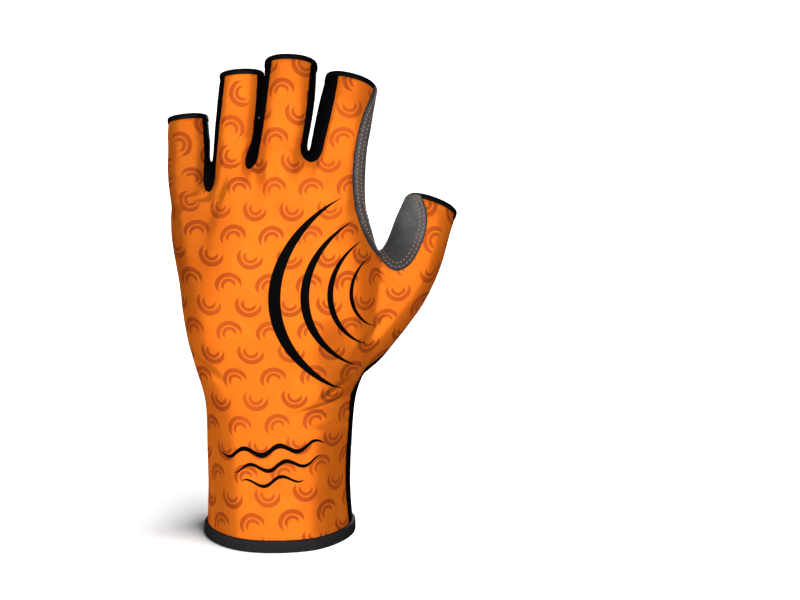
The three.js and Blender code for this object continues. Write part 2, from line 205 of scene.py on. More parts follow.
CREASES = (
    Crease(24, 66, -1, 22, 7, 24, 1.5),
    Crease(14, 88, -1, 24, 9, 38, 1.1),
    Crease(-24, 80, -1, 16, 8, -30, 0.9),
    Crease(-33, 152, -1, 18, 5, 84, 1.5),
    Crease(-11, 158, -1, 16, 5, 88, 1.2),
    Crease(14, 162, -1, 16, 5, 92, 1.2),
    Crease(0, 120, 1, 24, 14, 70, 4.0),
    Crease(-28, 100, 1, 22, 13, 96, -1.6),
    Crease(-4, 68, 1, 26, 6, 4, 1.8),
    Crease(30, 34, -1, 34, 9, 90, 1.7),
    Crease(-31, 34, -1, 34, 8, 92, 1.3),
    Crease(-44, 160, -1, 13, 3.4, 24, 0.9, True),
    Crease(-40, 164, -1, 10, 2.6, 8, 0.6, True),
    Crease(-46, 172, -1, 7, 2.6, -18, 0.5, True),
    Crease(-24, 170, -1, 12, 3.0, 72, 0.6, True),
    Crease(-19, 186, -1, 9, 2.6, 40, 0.5, True),
    Crease(0, 174, -1, 10, 3.0, 100, 0.5, True),
    Crease(3, 190, -1, 8, 2.4, 150, 0.45, True),
    Crease(22, 172, -1, 10, 3.0, 70, 0.5, True),
    Crease(20, 66.5, -1, 13, 2.2, 12, 0.9, True),
    Crease(26, 58, -1, 9, 2.6, -8, 0.6, True),
    Crease(27, 74, -1, 8, 2.4, 32, 0.6, True),
    Crease(54, 122, -1, 9, 2.4, -42, 0.7, True),
    Crease(48, 104, -1, 14, 3.0, 52, 0.6, True),
    Crease(-34, 84, -1, 9, 3.0, -34, 0.5, True),
)


def through(rows: np.ndarray, places: np.ndarray) -> np.ndarray:
    """Smooth curve through the rows of a table.

    Args:
        rows: One row of values for each section.
        places: Places along the table, counted in rows.

    Returns:
        One row of values for each place.
    """
    last = len(rows) - 1
    row = np.clip(np.floor(places).astype(int), 0, last - 1)
    share = (places - row)[:, None]

    def at(index: np.ndarray) -> np.ndarray:
        """Rows at an index, held at the ends."""
        return rows[np.clip(index, 0, last)]

    inward = (at(row + 1) - at(row - 1)) / 2
    outward = (at(row + 2) - at(row)) / 2
    square = share**2
    cube = share**3
    start = (2 * cube - 3 * square + 1) * at(row) + (cube - 2 * square + share) * inward
    return start + (3 * square - 2 * cube) * at(row + 1) + (cube - square) * outward


def ease(value: np.ndarray, start: float, end: float) -> np.ndarray:
    """Smooth step from 0 at start to 1 at end."""
    share = np.clip((value - start) / (end - start), 0.0, 1.0)
    return share * share * (3 - 2 * share)


def unit(vectors: np.ndarray) -> np.ndarray:
    """Rows of vectors at length 1."""
    return vectors / np.maximum(np.linalg.norm(vectors, axis=-1, keepdims=True), 1e-12)


def oval(sides: int, full: float) -> np.ndarray:
    """Points round an oval.

    Args:
        sides: How many points.
        full: The oval's exponent, 2 for a round one.

    Returns:
        The points, both coordinates from -1 to 1.
    """
    angle = np.linspace(0, 2 * math.pi, sides, endpoint=False)
    pair = np.stack([np.cos(angle), np.sin(angle)], axis=1)
    return np.sign(pair) * np.abs(pair) ** (2 / full)


def summed(index: np.ndarray, rows: np.ndarray, count: int) -> np.ndarray:
    """Sums rows of three values by their index.

    Args:
        index: The sum that each row is added to.
        rows: The rows.
        count: How many sums there are.

    Returns:
        The sums, one row each.
    """
    return np.stack([np.bincount(index, rows[:, axis], count) for axis in range(3)], axis=1)


def between(values: np.ndarray, pairs: np.ndarray, share: np.ndarray) -> np.ndarray:
    """Values part of the way along pairs of points.

    Args:
        values: One value, or one row of values, for each point.
        pairs: Indexes of the points, one pair each.
        share: Share of the way from the first to the second point.

    Returns:
        One value, or one row, for each pair.
    """
    weight = share.reshape((-1,) + (1,) * (values.ndim - 1))
    return values[pairs[:, 0]] + weight * (values[pairs[:, 1]] - values[pairs[:, 0]])


@dataclass
class Surface:
    """A triangle surface with named values on its points, in millimetres."""

    points: np.ndarray
    faces: np.ndarray
    values: dict[str, np.ndarray] = field(default_factory=dict)

    @classmethod
    def loft(cls, rings: list[np.ndarray]) -> "Surface":
        """Closed surface through rings, with a fan at each end.

        Args:
            rings: Rings of points, all with the same count.

        Returns:
            The surface.
        """
        sides = len(rings[0])
        points = [*rings, rings[0].mean(0, keepdims=True), rings[-1].mean(0, keepdims=True)]
        side = np.arange(sides)
        after = (side + 1) % sides
        faces = []
        for ring in range(len(rings) - 1):
            low = ring * sides
            high = low + sides
            faces.append(np.stack([low + side, low + after, high + after], axis=1))
            faces.append(np.stack([low + side, high + after, high + side], axis=1))
        foot = len(rings) * sides
        last = (len(rings) - 1) * sides
        faces.append(np.stack([np.full(sides, foot), after, side], axis=1))
        faces.append(np.stack([np.full(sides, foot + 1), last + side, last + after], axis=1))
        return cls(np.concatenate(points), np.concatenate(faces))

    @classmethod
    def joined(cls, parts: list["Surface"]) -> "Surface":
        """Several surfaces as one, without their values."""
        starts = np.cumsum([0, *(len(part.points) for part in parts[:-1])])
        faces = [part.faces + start for part, start in zip(parts, starts)]
        return cls(np.concatenate([part.points for part in parts]), np.concatenate(faces))

    def sides(self) -> np.ndarray:
        """The three sides of every face, as pairs of point indexes in its direction."""
        return np.concatenate([self.faces[:, [0, 1]], self.faces[:, [1, 2]], self.faces[:, [2, 0]]])

    def edges(self) -> np.ndarray:
        """Every edge once, as a pair of point indexes, low index first."""
        return np.unique(np.sort(self.sides(), axis=1), axis=0)

    def neighbours(self) -> np.ndarray:
        """Every pair of neighbouring points, both ways round."""
        edges = self.edges()
        return np.concatenate([edges, edges[:, ::-1]])

    def rim(self) -> np.ndarray:
        """Edges that only one face has, in that face's direction."""
        pairs = self.sides()
        keys = np.sort(pairs, axis=1)
        _, first, count = np.unique(keys, axis=0, return_index=True, return_counts=True)
        return pairs[first[count == 1]]

    def normals(self) -> np.ndarray:
        """Normal of each point, weighted by the area of its faces."""
        corner = self.points[self.faces]
        face = np.cross(corner[:, 1] - corner[:, 0], corner[:, 2] - corner[:, 0])
        total = np.zeros_like(self.points)
        for index in range(3):
            np.add.at(total, self.faces[:, index], face)
        return unit(total)

    def relax(self, weight: np.ndarray, rounds: int) -> None:
        """Moves each point towards its neighbours' middle.

        Args:
            weight: Share of the way for each point, from 0 to 1.
            rounds: How often this is done.
        """
        both = self.neighbours()
        count = np.bincount(both[:, 0], minlength=len(self.points))[:, None]
        for _ in range(rounds):
            total = summed(both[:, 0], self.points[both[:, 1]], len(self.points))
            self.points = self.points + weight[:, None] * (total / np.maximum(count, 1) - self.points)

    def take(self, mask: np.ndarray) -> "Surface":
        """The faces of a mask as a surface of their own."""
        used, faces = np.unique(self.faces[mask], return_inverse=True)
        values = {name: value[used] for name, value in self.values.items()}
        return Surface(self.points[used], faces.reshape(-1, 3), values)

    def on_faces(self, name: str) -> np.ndarray:
        """A named value at the middle of each face."""
        return self.values[name][self.faces].mean(axis=1)

    def split(self, name: str, level: float = 0.0) -> "Surface":
        """Cuts the faces along the line where a named value has a level.

        Args:
            name: The value that is followed.
            level: The level that it has on the line.

        Returns:
            The same surface with points on that line.
        """
        points = self.points.copy()
        value = self.values[name] - level
        values = {key: item.copy() for key, item in self.values.items()}
        edges = self.edges()
        low, high = value[edges[:, 0]], value[edges[:, 1]]
        crossed = edges[low * high < 0]
        share = value[crossed[:, 0]] / (value[crossed[:, 0]] - value[crossed[:, 1]])
        for near, far, way in ((0, 1, share), (1, 0, 1 - share)):
            close = way < NEAR_LINE
            moved, first = np.unique(crossed[close, near], return_index=True)
            other = crossed[close, far][first]
            amount = way[close][first]
            fresh = value[moved] != 0
            moved, other, amount = moved[fresh], other[fresh], amount[fresh]
            points[moved] += amount[:, None] * (points[other] - points[moved])
            for item in values.values():
                part = amount.reshape((-1,) + (1,) * (item.ndim - 1))
                item[moved] += part * (item[other] - item[moved])
            value[moved] = 0
            values[name][moved] = level
        sign = np.sign(value)[self.faces]
        cut = (sign > 0).any(1) & (sign < 0).any(1)
        pieces = [self.faces[~cut]]
        faces, sign = self.faces[cut], sign[cut]
        one_zero = (sign == 0).any(1)
        alone = np.argmax(sign == -sign.sum(1, keepdims=True), 1)
        first = np.where(one_zero, np.argmin(np.abs(sign), 1), alone)
        order = (first[:, None] + np.arange(3)) % 3
        faces = np.take_along_axis(faces, order, axis=1)
        ends = np.concatenate([
            faces[:, [1, 2]][one_zero],
            faces[:, [0, 1]][~one_zero],
            faces[:, [0, 2]][~one_zero],
        ])
        if len(ends) == 0:
            return Surface(points, self.faces, values)
        keys, index = np.unique(np.sort(ends, axis=1), axis=0, return_inverse=True)
        index = index.ravel() + len(points)
        part = value[keys[:, 0]] / (value[keys[:, 0]] - value[keys[:, 1]])
        fresh = between(points, keys, part)
        for key, item in values.items():
            middle = between(item, keys, part)
            if key == name:
                middle[:] = level
            values[key] = np.concatenate([item, middle])
        zeros = int(one_zero.sum())
        count = len(faces)
        half = faces[one_zero]
        middle = index[:zeros]
        pieces.append(np.stack([half[:, 0], half[:, 1], middle], axis=1))
        pieces.append(np.stack([half[:, 0], middle, half[:, 2]], axis=1))
        lone = faces[~one_zero]
        near = index[zeros:count]
        far = index[count:]
        pieces.append(np.stack([lone[:, 0], near, far], axis=1))
        pieces.append(np.stack([near, lone[:, 1], lone[:, 2]], axis=1))
        pieces.append(np.stack([near, lone[:, 2], far], axis=1))
        return Surface(np.concatenate([points, fresh]), np.concatenate(pieces), values)

    def closed(self, outer: np.ndarray, inner: np.ndarray) -> tuple["Surface", int]:
        """A body between two copies of this surface, with walls along its rim.

        Args:
            outer: The points of the outer copy.
            inner: The points of the inner copy.

        Returns:
            The body, and how many of its faces, the first ones, are not on the inner copy.
        """
        count = len(self.points)
        rim = self.rim()
        walls = np.concatenate([
            np.stack([rim[:, 1], rim[:, 0], rim[:, 0] + count], axis=1),
            np.stack([rim[:, 1], rim[:, 0] + count, rim[:, 1] + count], axis=1),
        ])
        faces = np.concatenate([self.faces, walls, self.faces[:, ::-1] + count])
        return Surface(np.concatenate([outer, inner]), faces), len(self.faces) + len(walls)

    def trace(self, name: str, level: float = 0.0) -> list["Trail"]:
        """Lines on the surface along which a named value has a level.

        Args:
            name: The value that is followed.
            level: The level that it has on the line.

        Returns:
            One trail for each separate line, longest first.
        """
        value = self.values[name] - level
        value = np.where(value == 0, 1e-9, value)
        normal = self.values["normal"]
        sign = value[self.faces] > 0
        faces = self.faces[(sign.any(1)) & (~sign.all(1))]
        links: dict[tuple[int, int], list[tuple[int, int]]] = {}
        for face in faces:
            ends = []
            for a, b in ((face[0], face[1]), (face[1], face[2]), (face[2], face[0])):
                if (value[a] > 0) != (value[b] > 0):
                    ends.append((int(min(a, b)), int(max(a, b))))
            links.setdefault(ends[0], []).append(ends[1])
            links.setdefault(ends[1], []).append(ends[0])
        trails = []
        starts = [key for key, near in links.items() if len(near) == 1] + list(links)
        seen: set[tuple[int, int]] = set()
        for start in starts:
            if start in seen:
                continue
            chain = [start]
            seen.add(start)
            while True:
                onward = [key for key in links[chain[-1]] if key not in seen]
                if not onward:
                    break
                chain.append(onward[0])
                seen.add(onward[0])
            closed = len(chain) > 2 and chain[0] in links[chain[-1]]
            pair = np.array(chain)
            part = (value[pair[:, 0]] / (value[pair[:, 0]] - value[pair[:, 1]]))[:, None]
            line = self.points[pair[:, 0]] * (1 - part) + self.points[pair[:, 1]] * part
            across = unit(normal[pair[:, 0]] * (1 - part) + normal[pair[:, 1]] * part)
            trails.append(Trail(line, across, closed))
        return sorted(trails, key=lambda trail: -trail.length())


@dataclass
class Trail:
    """A line on the skin, with the skin's normal at each of its points."""

    points: np.ndarray
    normals: np.ndarray
    closed: bool

    def length(self) -> float:
        """Length along the line."""
        ends = np.roll(self.points, -1, axis=0) if self.closed else self.points[1:]
        starts = self.points if self.closed else self.points[:-1]
        return float(np.linalg.norm(ends - starts, axis=1).sum())

    def evened(self, step: float) -> "Trail":
        """The same line, smoothed and with points at about one distance.

        Args:
            step: Distance from point to point.

        Returns:
            The new trail.
        """
        line = np.concatenate([self.points, self.points[:1]]) if self.closed else self.points
        across = np.concatenate([self.normals, self.normals[:1]]) if self.closed else self.normals
        along = np.concatenate([[0.0], np.cumsum(np.linalg.norm(np.diff(line, axis=0), axis=1))])
        count = max(4, int(round(along[-1] / step)))
        places = np.linspace(0, along[-1], count + 1)
        points = np.stack([np.interp(places, along, line[:, axis]) for axis in range(3)], axis=1)
        normals = np.stack([np.interp(places, along, across[:, axis]) for axis in range(3)], axis=1)
        if self.closed:
            points, normals = points[:-1], normals[:-1]
            points = (np.roll(points, 1, axis=0) + 2 * points + np.roll(points, -1, axis=0)) / 4
        else:
            points[1:-1] = (points[:-2] + 2 * points[1:-1] + points[2:]) / 4
        return Trail(points, unit(normals), self.closed)

    def tangents(self) -> np.ndarray:
        """Direction of the line at each point."""
        if self.closed:
            return unit(np.roll(self.points, -1, axis=0) - np.roll(self.points, 1, axis=0))
        return unit(np.gradient(self.points, axis=0))


@dataclass(frozen=True)
class HandForm:
    """The worn form: an oval hand with five tubes for the digits.

    foot and beyond_tip are how far the cuff and the digits run on past their openings.
    The fingers are spread by spread_gap from one to the next, between two heights.
    """

    hand_sides: int = 120
    digit_sides: int = 72
    ring_step: float = 2.0
    station_step: float = 20.0
    foot: float = -6.0
    beyond_tip: float = 6.0
    voxel: float = 1.0
    spread_gap: float = 2.4
    spread_start: float = 172.0
    spread_end: float = 190.0
    least_gap: float = 1.2

    def hand(self) -> Surface:
        """The cuff and the hand as one closed surface."""
        rows = np.array([astuple(level) for level in HAND])
        dense = np.linspace(0, len(rows) - 1, 400)
        heights = np.arange(0, rows[-1, 0] + 0.01, self.ring_step)
        sections = through(rows, np.interp(heights, through(rows, dense)[:, 0], dense))
        rings = []
        for _, rise, left, right, back, palm, full in sections:
            edge = oval(self.hand_sides, full)
            depth = np.where(edge[:, 1] < 0, back, palm)
            height = heights[len(rings)] + edge[:, 0] * rise / 2
            across = (left + right) / 2 + edge[:, 0] * (right - left) / 2
            rings.append(np.stack([across, edge[:, 1] * depth, height], axis=1))
        rings.insert(0, rings[0] + np.array([0, 0, self.foot]))
        return Surface.loft(rings)

    def line(self, digit: Digit, places: np.ndarray) -> tuple[np.ndarray, np.ndarray, np.ndarray]:
        """A digit's centre line.

        Args:
            digit: Which digit.
            places: Places along its table, counted in rows; more than the last runs past the tip.

        Returns:
            Centres, tangents, and pairs of width and depth.
        """
        rows = np.array([astuple(station) for station in DIGITS[digit]])
        last = len(rows) - 1
        held = np.minimum(places, last)
        nudge = 0.02
        values = through(rows, held)
        ahead = through(rows, np.minimum(held + nudge, last))[:, :3]
        behind = through(rows, np.maximum(held - nudge, 0))[:, :3]
        tangents = unit(ahead - behind)
        centres = values[:, :3] + np.maximum(places - last, 0)[:, None] * tangents
        return centres, tangents, values[:, 3:]

    def tube(self, digit: Digit) -> Surface:
        """A digit's closed tube.

        Args:
            digit: Which digit.

        Returns:
            The tube, which runs past the open tip.
        """
        last = len(DIGITS[digit]) - 1
        count = int(last * self.station_step / self.ring_step)
        beyond = [last + self.beyond_tip / 2, last + self.beyond_tip]
        places = np.concatenate([np.linspace(0, last, count), beyond])
        centres, tangents, sizes = self.line(digit, places)
        wide = unit(np.cross(np.array([0.0, 1.0, 0.0]), tangents))
        deep = np.cross(tangents, wide)
        edge = oval(self.digit_sides, DIGIT_FULLNESS)
        rings = []
        for centre, across, along, (width, depth) in zip(centres, wide, deep, sizes):
            ring = centre + edge[:, :1] * across * width / 2 + edge[:, 1:] * along * depth / 2
            rings.append(self.spread(digit, ring))
        return Surface.loft(rings)

    def spread(self, digit: Digit, points: np.ndarray) -> np.ndarray:
        """Moves a finger's points sideways, so that narrow gaps stay open in the skin.

        Args:
            digit: The digit that the points belong to.
            points: The points, one row each.

        Returns:
            The moved points.
        """
        moved = points.copy()
        moved[:, 0] += self.sideways(digit, points[:, 2])
        return moved

    def sideways(self, digit: Digit, heights: np.ndarray) -> np.ndarray:
        """How far the spread moves a digit towards the thumb side.

        Args:
            digit: Which digit.
            heights: Heights on it.

        Returns:
            The way sideways at each height.
        """
        opened = ease(heights, self.spread_start, self.spread_end)
        return SPREAD_PLACES.get(digit, 0.0) * self.spread_gap * opened

    def tip(self, digit: Digit) -> tuple[np.ndarray, np.ndarray]:
        """How a digit's open end lies.

        Args:
            digit: Which digit.

        Returns:
            Its middle, and the direction that its rim faces.
        """
        centres, tangents, _ = self.line(digit, np.array([float(len(DIGITS[digit]) - 1)]))
        fall = math.radians(RIMS[digit].fall)
        curl = math.asin(tangents[0, 1]) + math.radians(RIMS[digit].tilt)
        upright = math.cos(curl)
        return centres[0], np.array([upright * math.sin(fall), math.sin(curl), upright * math.cos(fall)])

    def middle_at(self, digit: Digit, heights: np.ndarray) -> np.ndarray:
        """A digit's tube at given heights.

        Args:
            digit: Which digit.
            heights: The heights.

        Returns:
            Centre x, centre y, width and depth, one row for each height.
        """
        last = len(DIGITS[digit]) - 1
        places = np.linspace(0, last + self.beyond_tip, 240)
        centres, _, sizes = self.line(digit, places)
        columns = (centres[:, 0], centres[:, 1], sizes[:, 0], sizes[:, 1])
        return np.stack([np.interp(heights, centres[:, 2], column) for column in columns], axis=1)

    def skin(self) -> Surface:
        """One even skin round the hand and all digits."""
        whole = Surface.joined([self.hand(), *(self.tube(digit) for digit in Digit)])
        rough = MeshMaker.plain("rough_form", whole)
        shrink = rough.modifiers.new("even", "REMESH")
        shrink.mode = "VOXEL"
        shrink.voxel_size = self.voxel * METRE
        graph = bpy.context.evaluated_depsgraph_get()
        even = rough.evaluated_get(graph).to_mesh()
        points = np.zeros(len(even.vertices) * 3, np.float32)
        even.vertices.foreach_get("co", points)
        even.calc_loop_triangles()
        faces = np.zeros(len(even.loop_triangles) * 3, np.int32)
        even.loop_triangles.foreach_get("vertices", faces)
        surface = Surface(points.reshape(-1, 3).astype(float) / METRE, faces.reshape(-1, 3))
        rough.evaluated_get(graph).to_mesh_clear()
        bpy.data.objects.remove(rough)
        return surface

    def owner(self, points: np.ndarray) -> np.ndarray:
        """Which digit each point of the spread form is nearest to.

        Args:
            points: The points, one row each.

        Returns:
            The digit's place in Digit, for each point.
        """
        away = []
        for digit in Digit:
            left, right = self.sides_at(digit, points[:, 2])
            away.append(np.abs(points[:, 0] - (left + right) / 2) - (right - left) / 2)
        return np.argmin(np.array(away), axis=0)

    def sides_at(self, digit: Digit, heights: np.ndarray) -> tuple[np.ndarray, np.ndarray]:
        """The two sides of a spread digit.

        Args:
            digit: Which digit.
            heights: Heights on it.

        Returns:
            The x of its left and of its right side at each height.
        """
        x, _, width, _ = self.middle_at(digit, heights).T
        middle = x + self.sideways(digit, heights)
        return middle - width / 2, middle + width / 2

    def gathered(self, skin: Surface) -> Surface:
        """The skin with its fingers moved back together, and each point's digit noted.

        Args:
            skin: The skin of the spread form.

        Returns:
            The same skin. The cloth between two fingers follows both of them.
        """
        x, _, z = skin.points.T
        skin.values["owner"] = self.owner(skin.points).astype(float)
        moved = self.sideways(Digit.LITTLE, z)
        fingers = list(Digit)[:-1]
        for low, high in zip(fingers, fingers[1:]):
            left = self.sides_at(low, z)[1]
            right = self.sides_at(high, z)[0]
            width = np.maximum(right - left, self.least_gap)
            share = np.clip((x - (left + right) / 2) / width + 0.5, 0, 1)
            moved = moved + share * (self.sideways(high, z) - self.sideways(low, z))
        thumb = skin.values["owner"] == list(Digit).index(Digit.THUMB)
        skin.points[:, 0] -= np.where(thumb, 0.0, moved)
        return skin


class MeshMaker:
    """Makes Blender meshes from surfaces and puts them on the glove."""

    @staticmethod
    def plain(name: str, surface: Surface) -> Object:
        """An object with a surface's points and faces.

        Args:
            name: The object's name.
            surface: The surface, in millimetres.

        Returns:
            The object, smooth-shaded and in metres.
        """
        mesh = bpy.data.meshes.new(name)
        mesh.vertices.add(len(surface.points))
        mesh.vertices.foreach_set("co", (surface.points * METRE).astype(np.float32).ravel())
        count = len(surface.faces)
        mesh.loops.add(count * 3)
        mesh.loops.foreach_set("vertex_index", surface.faces.astype(np.int32).ravel())
        mesh.polygons.add(count)
        mesh.polygons.foreach_set("loop_start", np.arange(0, count * 3, 3, dtype=np.int32))
        mesh.polygons.foreach_set("use_smooth", np.ones(count, dtype=bool))
        mesh.update(calc_edges=True)
        mesh.validate()
        made = bpy.data.objects.new(name, mesh)
        bpy.context.scene.collection.objects.link(made)
        return made

    @staticmethod
    def worn(piece: Object, slot: str, *nodes: str) -> Object:
        """Puts a piece on the glove.

        Args:
            piece: The finished object.
            slot: Name of the record's material slot for its finish; not used.
            *nodes: The frame's nodes that it stands for.

        Returns:
            The same object.
        """
        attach(piece, "root")
        if nodes:
            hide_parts(*nodes)
        LOG.info("%s: %d faces", piece.name, len(piece.data.polygons))
        return piece


def line_distance(x: np.ndarray, z: np.ndarray, line: np.ndarray) -> np.ndarray:
    """Signed distance to an open line in x and z, positive on its left.

    Args:
        x: The x of each place.
        z: The z of each place.
        line: Points of the line, one row each.

    Returns:
        The distance of each place.
    """
    start = line[:-1]
    way = line[1:] - start
    size = (way**2).sum(1)
    best = np.full(len(x), np.inf)
    signed = np.zeros(len(x))
    for (sx, sz), (wx, wz), length in zip(start, way, size):
        share = np.clip(((x - sx) * wx + (z - sz) * wz) / length, 0, 1)
        away = np.hypot(x - sx - share * wx, z - sz - share * wz)
        side = np.where(wx * (z - sz) - wz * (x - sx) >= 0, 1.0, -1.0)
        closer = away < best - 1e-9
        best = np.where(closer, away, best)
        signed = np.where(closer, away * side, signed)
    return signed


def curved(points: Outline, closed: bool = False, steps: int = 10) -> np.ndarray:
    """Smooth line through a few points.

    Args:
        points: The points, in x and z.
        closed: Whether the line is a loop.
        steps: Steps from one point to the next.

    Returns:
        Points of the line, one row each.
    """
    rows = np.array(points, float)
    if not closed:
        return through(rows, np.linspace(0, len(rows) - 1, (len(rows) - 1) * steps + 1))
    wrapped = np.concatenate([rows[-2:], rows, rows[:3]])
    return through(wrapped, np.linspace(2, len(rows) + 2, len(rows) * steps + 1))


@dataclass(frozen=True)
class Strip:
    """A black strip between two fingers, as its outline shows from the back and the palm.

    low and high are the fingers on its little-finger side and its thumb side. Each
    outline runs in x and z down the low finger, round the crotch and up the high finger.
    """

    low: Digit
    high: Digit
    back: Outline
    palm: Outline

    def depth_of(self, form: HandForm, points: np.ndarray) -> np.ndarray:
        """How far inside the strip each point lies, negative outside it.

        Args:
            form: The worn form, for the fingers' middles.
            points: The points, one row each.

        Returns:
            One value for each point.
        """
        x, y, z = points.T
        low = form.middle_at(self.low, z)
        high = form.middle_at(self.high, z)
        share = ease(x, self.back[3][0] - 3, self.back[3][0] + 3)
        middle = low[:, 1] + (high[:, 1] - low[:, 1]) * share
        back = line_distance(x, z, curved(self.back))
        palm = line_distance(x, z, curved(self.palm))
        return np.where(y < middle, back, palm)


@dataclass(frozen=True)
class Pattern:
    """Where the cut pieces of cloth meet.

    The pairs of numbers are the stretches over which the seam between the back and the
    palm changes its y, in x for a side and in z for a root, a tip or a top.
    """

    form: HandForm
    seam_little: float = 2.5
    seam_cuff: float = -6.0
    seam_thumb: float = 9.0
    thumb_side: tuple[float, float] = (26, 46)
    thumb_root: tuple[float, float] = (78, 100)
    thumb_tip: tuple[float, float] = (160, 174)
    cuff_side: tuple[float, float] = (2, 24)
    cuff_top: tuple[float, float] = (68, 96)
    curl_start: float = 172
    curl_length: float = 50
    curl_depth: float = 9.5
    curl_power: float = 1.6
    crotch_from: float = 20
    thenar_from: float = 6
    outside: float = -20.0
    hem_top: float = 5.0
    tape_cover: float = 1.2
    tip_reach: float = 24.0
    strips: tuple[Strip, ...] = (
        Strip(
            Digit.MIDDLE,
            Digit.INDEX,
            back=(
                (17.3, 232), (15.1, 207), (13.0, 191), (12.1, 184.5), (15.6, 180.2),
                (20.4, 183), (23.4, 193), (27.8, 212.5), (30.0, 232),
            ),
            palm=(
                (17.0, 232), (14.2, 207), (12.6, 191), (12.4, 184.5), (15.6, 180.5),
                (18.6, 183.5), (20.0, 193), (23.4, 212.5), (25.0, 232),
            ),
        ),
        Strip(
            Digit.RING,
            Digit.MIDDLE,
            back=(
                (-7.0, 232), (-8.3, 207), (-10.1, 191), (-13.2, 181.5), (-12.2, 177),
                (-9.2, 179.2), (-7.4, 187), (-4.2, 205), (-1.2, 232),
            ),
            palm=(
                (-7.6, 232), (-9.6, 207), (-12.4, 191), (-13.8, 181.5), (-12.0, 177),
                (-9.4, 179.2), (-7.2, 187), (-4.2, 205), (-2.0, 232),
            ),
        ),
        Strip(
            Digit.LITTLE,
            Digit.RING,
            back=(
                (-34.5, 214), (-32.9, 194), (-32.3, 181), (-32.9, 171), (-31.2, 166.4),
                (-28.7, 169.5), (-27.2, 182), (-25.2, 199), (-22.6, 222),
            ),
            palm=(
                (-35.4, 214), (-34.2, 194), (-33.4, 181), (-33.2, 172), (-31.2, 166.8),
                (-28.6, 170.5), (-27.0, 182), (-25.0, 199), (-22.6, 222),
            ),
        ),
    )
    suede_edge: Outline = (
        (60, 242), (53, 192), (45, 162), (34, 153), (23, 152.5), (-4, 143), (-18, 137), (-20.5, 131),
        (-15.8, 115), (-8, 100), (-9.5, 93), (-27.4, 80), (-35, 79.5), (-46, 94), (-62, 98),
    )
    plain_edge: Outline = (
        (-7.8, 242), (-8.6, 202), (-9.6, 184), (-13, 170), (-24, 160), (-48, 148), (-64, 144),
    )
    crotch_back: Outline = (
        (47, 228), (44.8, 213), (39.6, 200), (36.4, 186), (35.3, 170), (37.4, 155), (43, 141),
        (50, 131.5), (56, 129), (62.5, 133), (68, 144), (69.6, 154), (67, 163), (62, 174),
    )
    crotch_palm: Outline = (
        (37, 228), (34.5, 208), (31.8, 189), (31.3, 171), (33.6, 154), (42, 145),
        (48.5, 136), (53.5, 135.5), (58, 148), (63, 162), (64, 174),
    )
    thenar: Outline = (
        (41, 131), (49.5, 126), (52, 115), (47, 94), (31, 83), (19.5, 90), (15.5, 102), (26, 120),
    )

    def seam(self, x: np.ndarray, z: np.ndarray) -> np.ndarray:
        """The seam that parts the back from the palm.

        Args:
            x: The x of each place.
            z: The z of each place.

        Returns:
            The seam's y at each place.
        """
        thumb = ease(x, *self.thumb_side) * ease(z, *self.thumb_root) * (1 - ease(z, *self.thumb_tip))
        cuff = ease(x, *self.cuff_side) * (1 - ease(z, *self.cuff_top))
        curled = np.maximum(0, (z - self.curl_start) / self.curl_length) ** self.curl_power
        base = self.seam_little + self.curl_depth * curled
        thumb_rise = thumb * (self.seam_thumb - self.seam_little)
        cuff_rise = cuff * (self.seam_cuff - self.seam_little)
        return base + thumb_rise + cuff_rise

    def trim(self, skin: Surface) -> Surface:
        """Opens the skin at the cuff's mouth and at the five tips.

        Args:
            skin: The closed skin.

        Returns:
            The open skin.
        """
        skin.values["foot"] = skin.points[:, 2] - self.hem_top
        skin = skin.split("foot")
        skin = skin.take(skin.on_faces("foot") > 0)
        for index, digit in enumerate(Digit):
            tip, way = self.form.tip(digit)
            ahead = (skin.points - tip) @ way + self.tape_cover
            near = np.linalg.norm(skin.points - tip, axis=1) < self.tip_reach
            mine = np.rint(skin.values["owner"]) == index
            skin.values["end"] = np.where(near & mine, ahead, -self.tip_reach)
            skin = skin.split("end")
            skin = skin.take(skin.on_faces("end") < 0)
        del skin.values["end"]
        del skin.values["foot"]
        return skin

    def mark(self, skin: Surface) -> Surface:
        """Writes on the skin how far each point lies inside every cut piece.

        Args:
            skin: The open skin.

        Returns:
            The skin with these values, and with points along the seams.
        """
        x, y, z = skin.points.T
        values = skin.values
        values["back"] = self.seam(x, z) - y
        for strip in self.strips:
            values[f"strip_{strip.high.value}"] = strip.depth_of(self.form, skin.points)
        values["suede"] = -line_distance(x, z, curved(self.suede_edge))
        values["plain"] = -line_distance(x, z, curved(self.plain_edge))
        back_side = line_distance(x, z, curved(self.crotch_back))
        palm_side = line_distance(x, z, curved(self.crotch_palm))
        share = ease(values["back"], -4, 4)
        crotch = palm_side + (back_side - palm_side) * share
        values["crotch"] = np.where(x > self.crotch_from, crotch, self.outside)
        thenar = -line_distance(x, z, curved(self.thenar, closed=True))
        values["thenar"] = np.where(y > self.thenar_from, thenar, self.outside)
        for name in ("back", *(f"strip_{strip.high.value}" for strip in self.strips), "suede", "plain"):
            skin = skin.split(name)
        skin.values["normal"] = unit(skin.values["normal"])
        return skin


@dataclass(frozen=True)
class SoftPlace:
    """A soft oval place in x and z."""

    x: float
    z: float
    half_width: float
    half_height: float

    def share(self, x: np.ndarray, z: np.ndarray) -> np.ndarray:
        """How far each place belongs to it, 1 in the middle."""
        return np.exp(-(((x - self.x) / self.half_width) ** 2) - ((z - self.z) / self.half_height) ** 2)


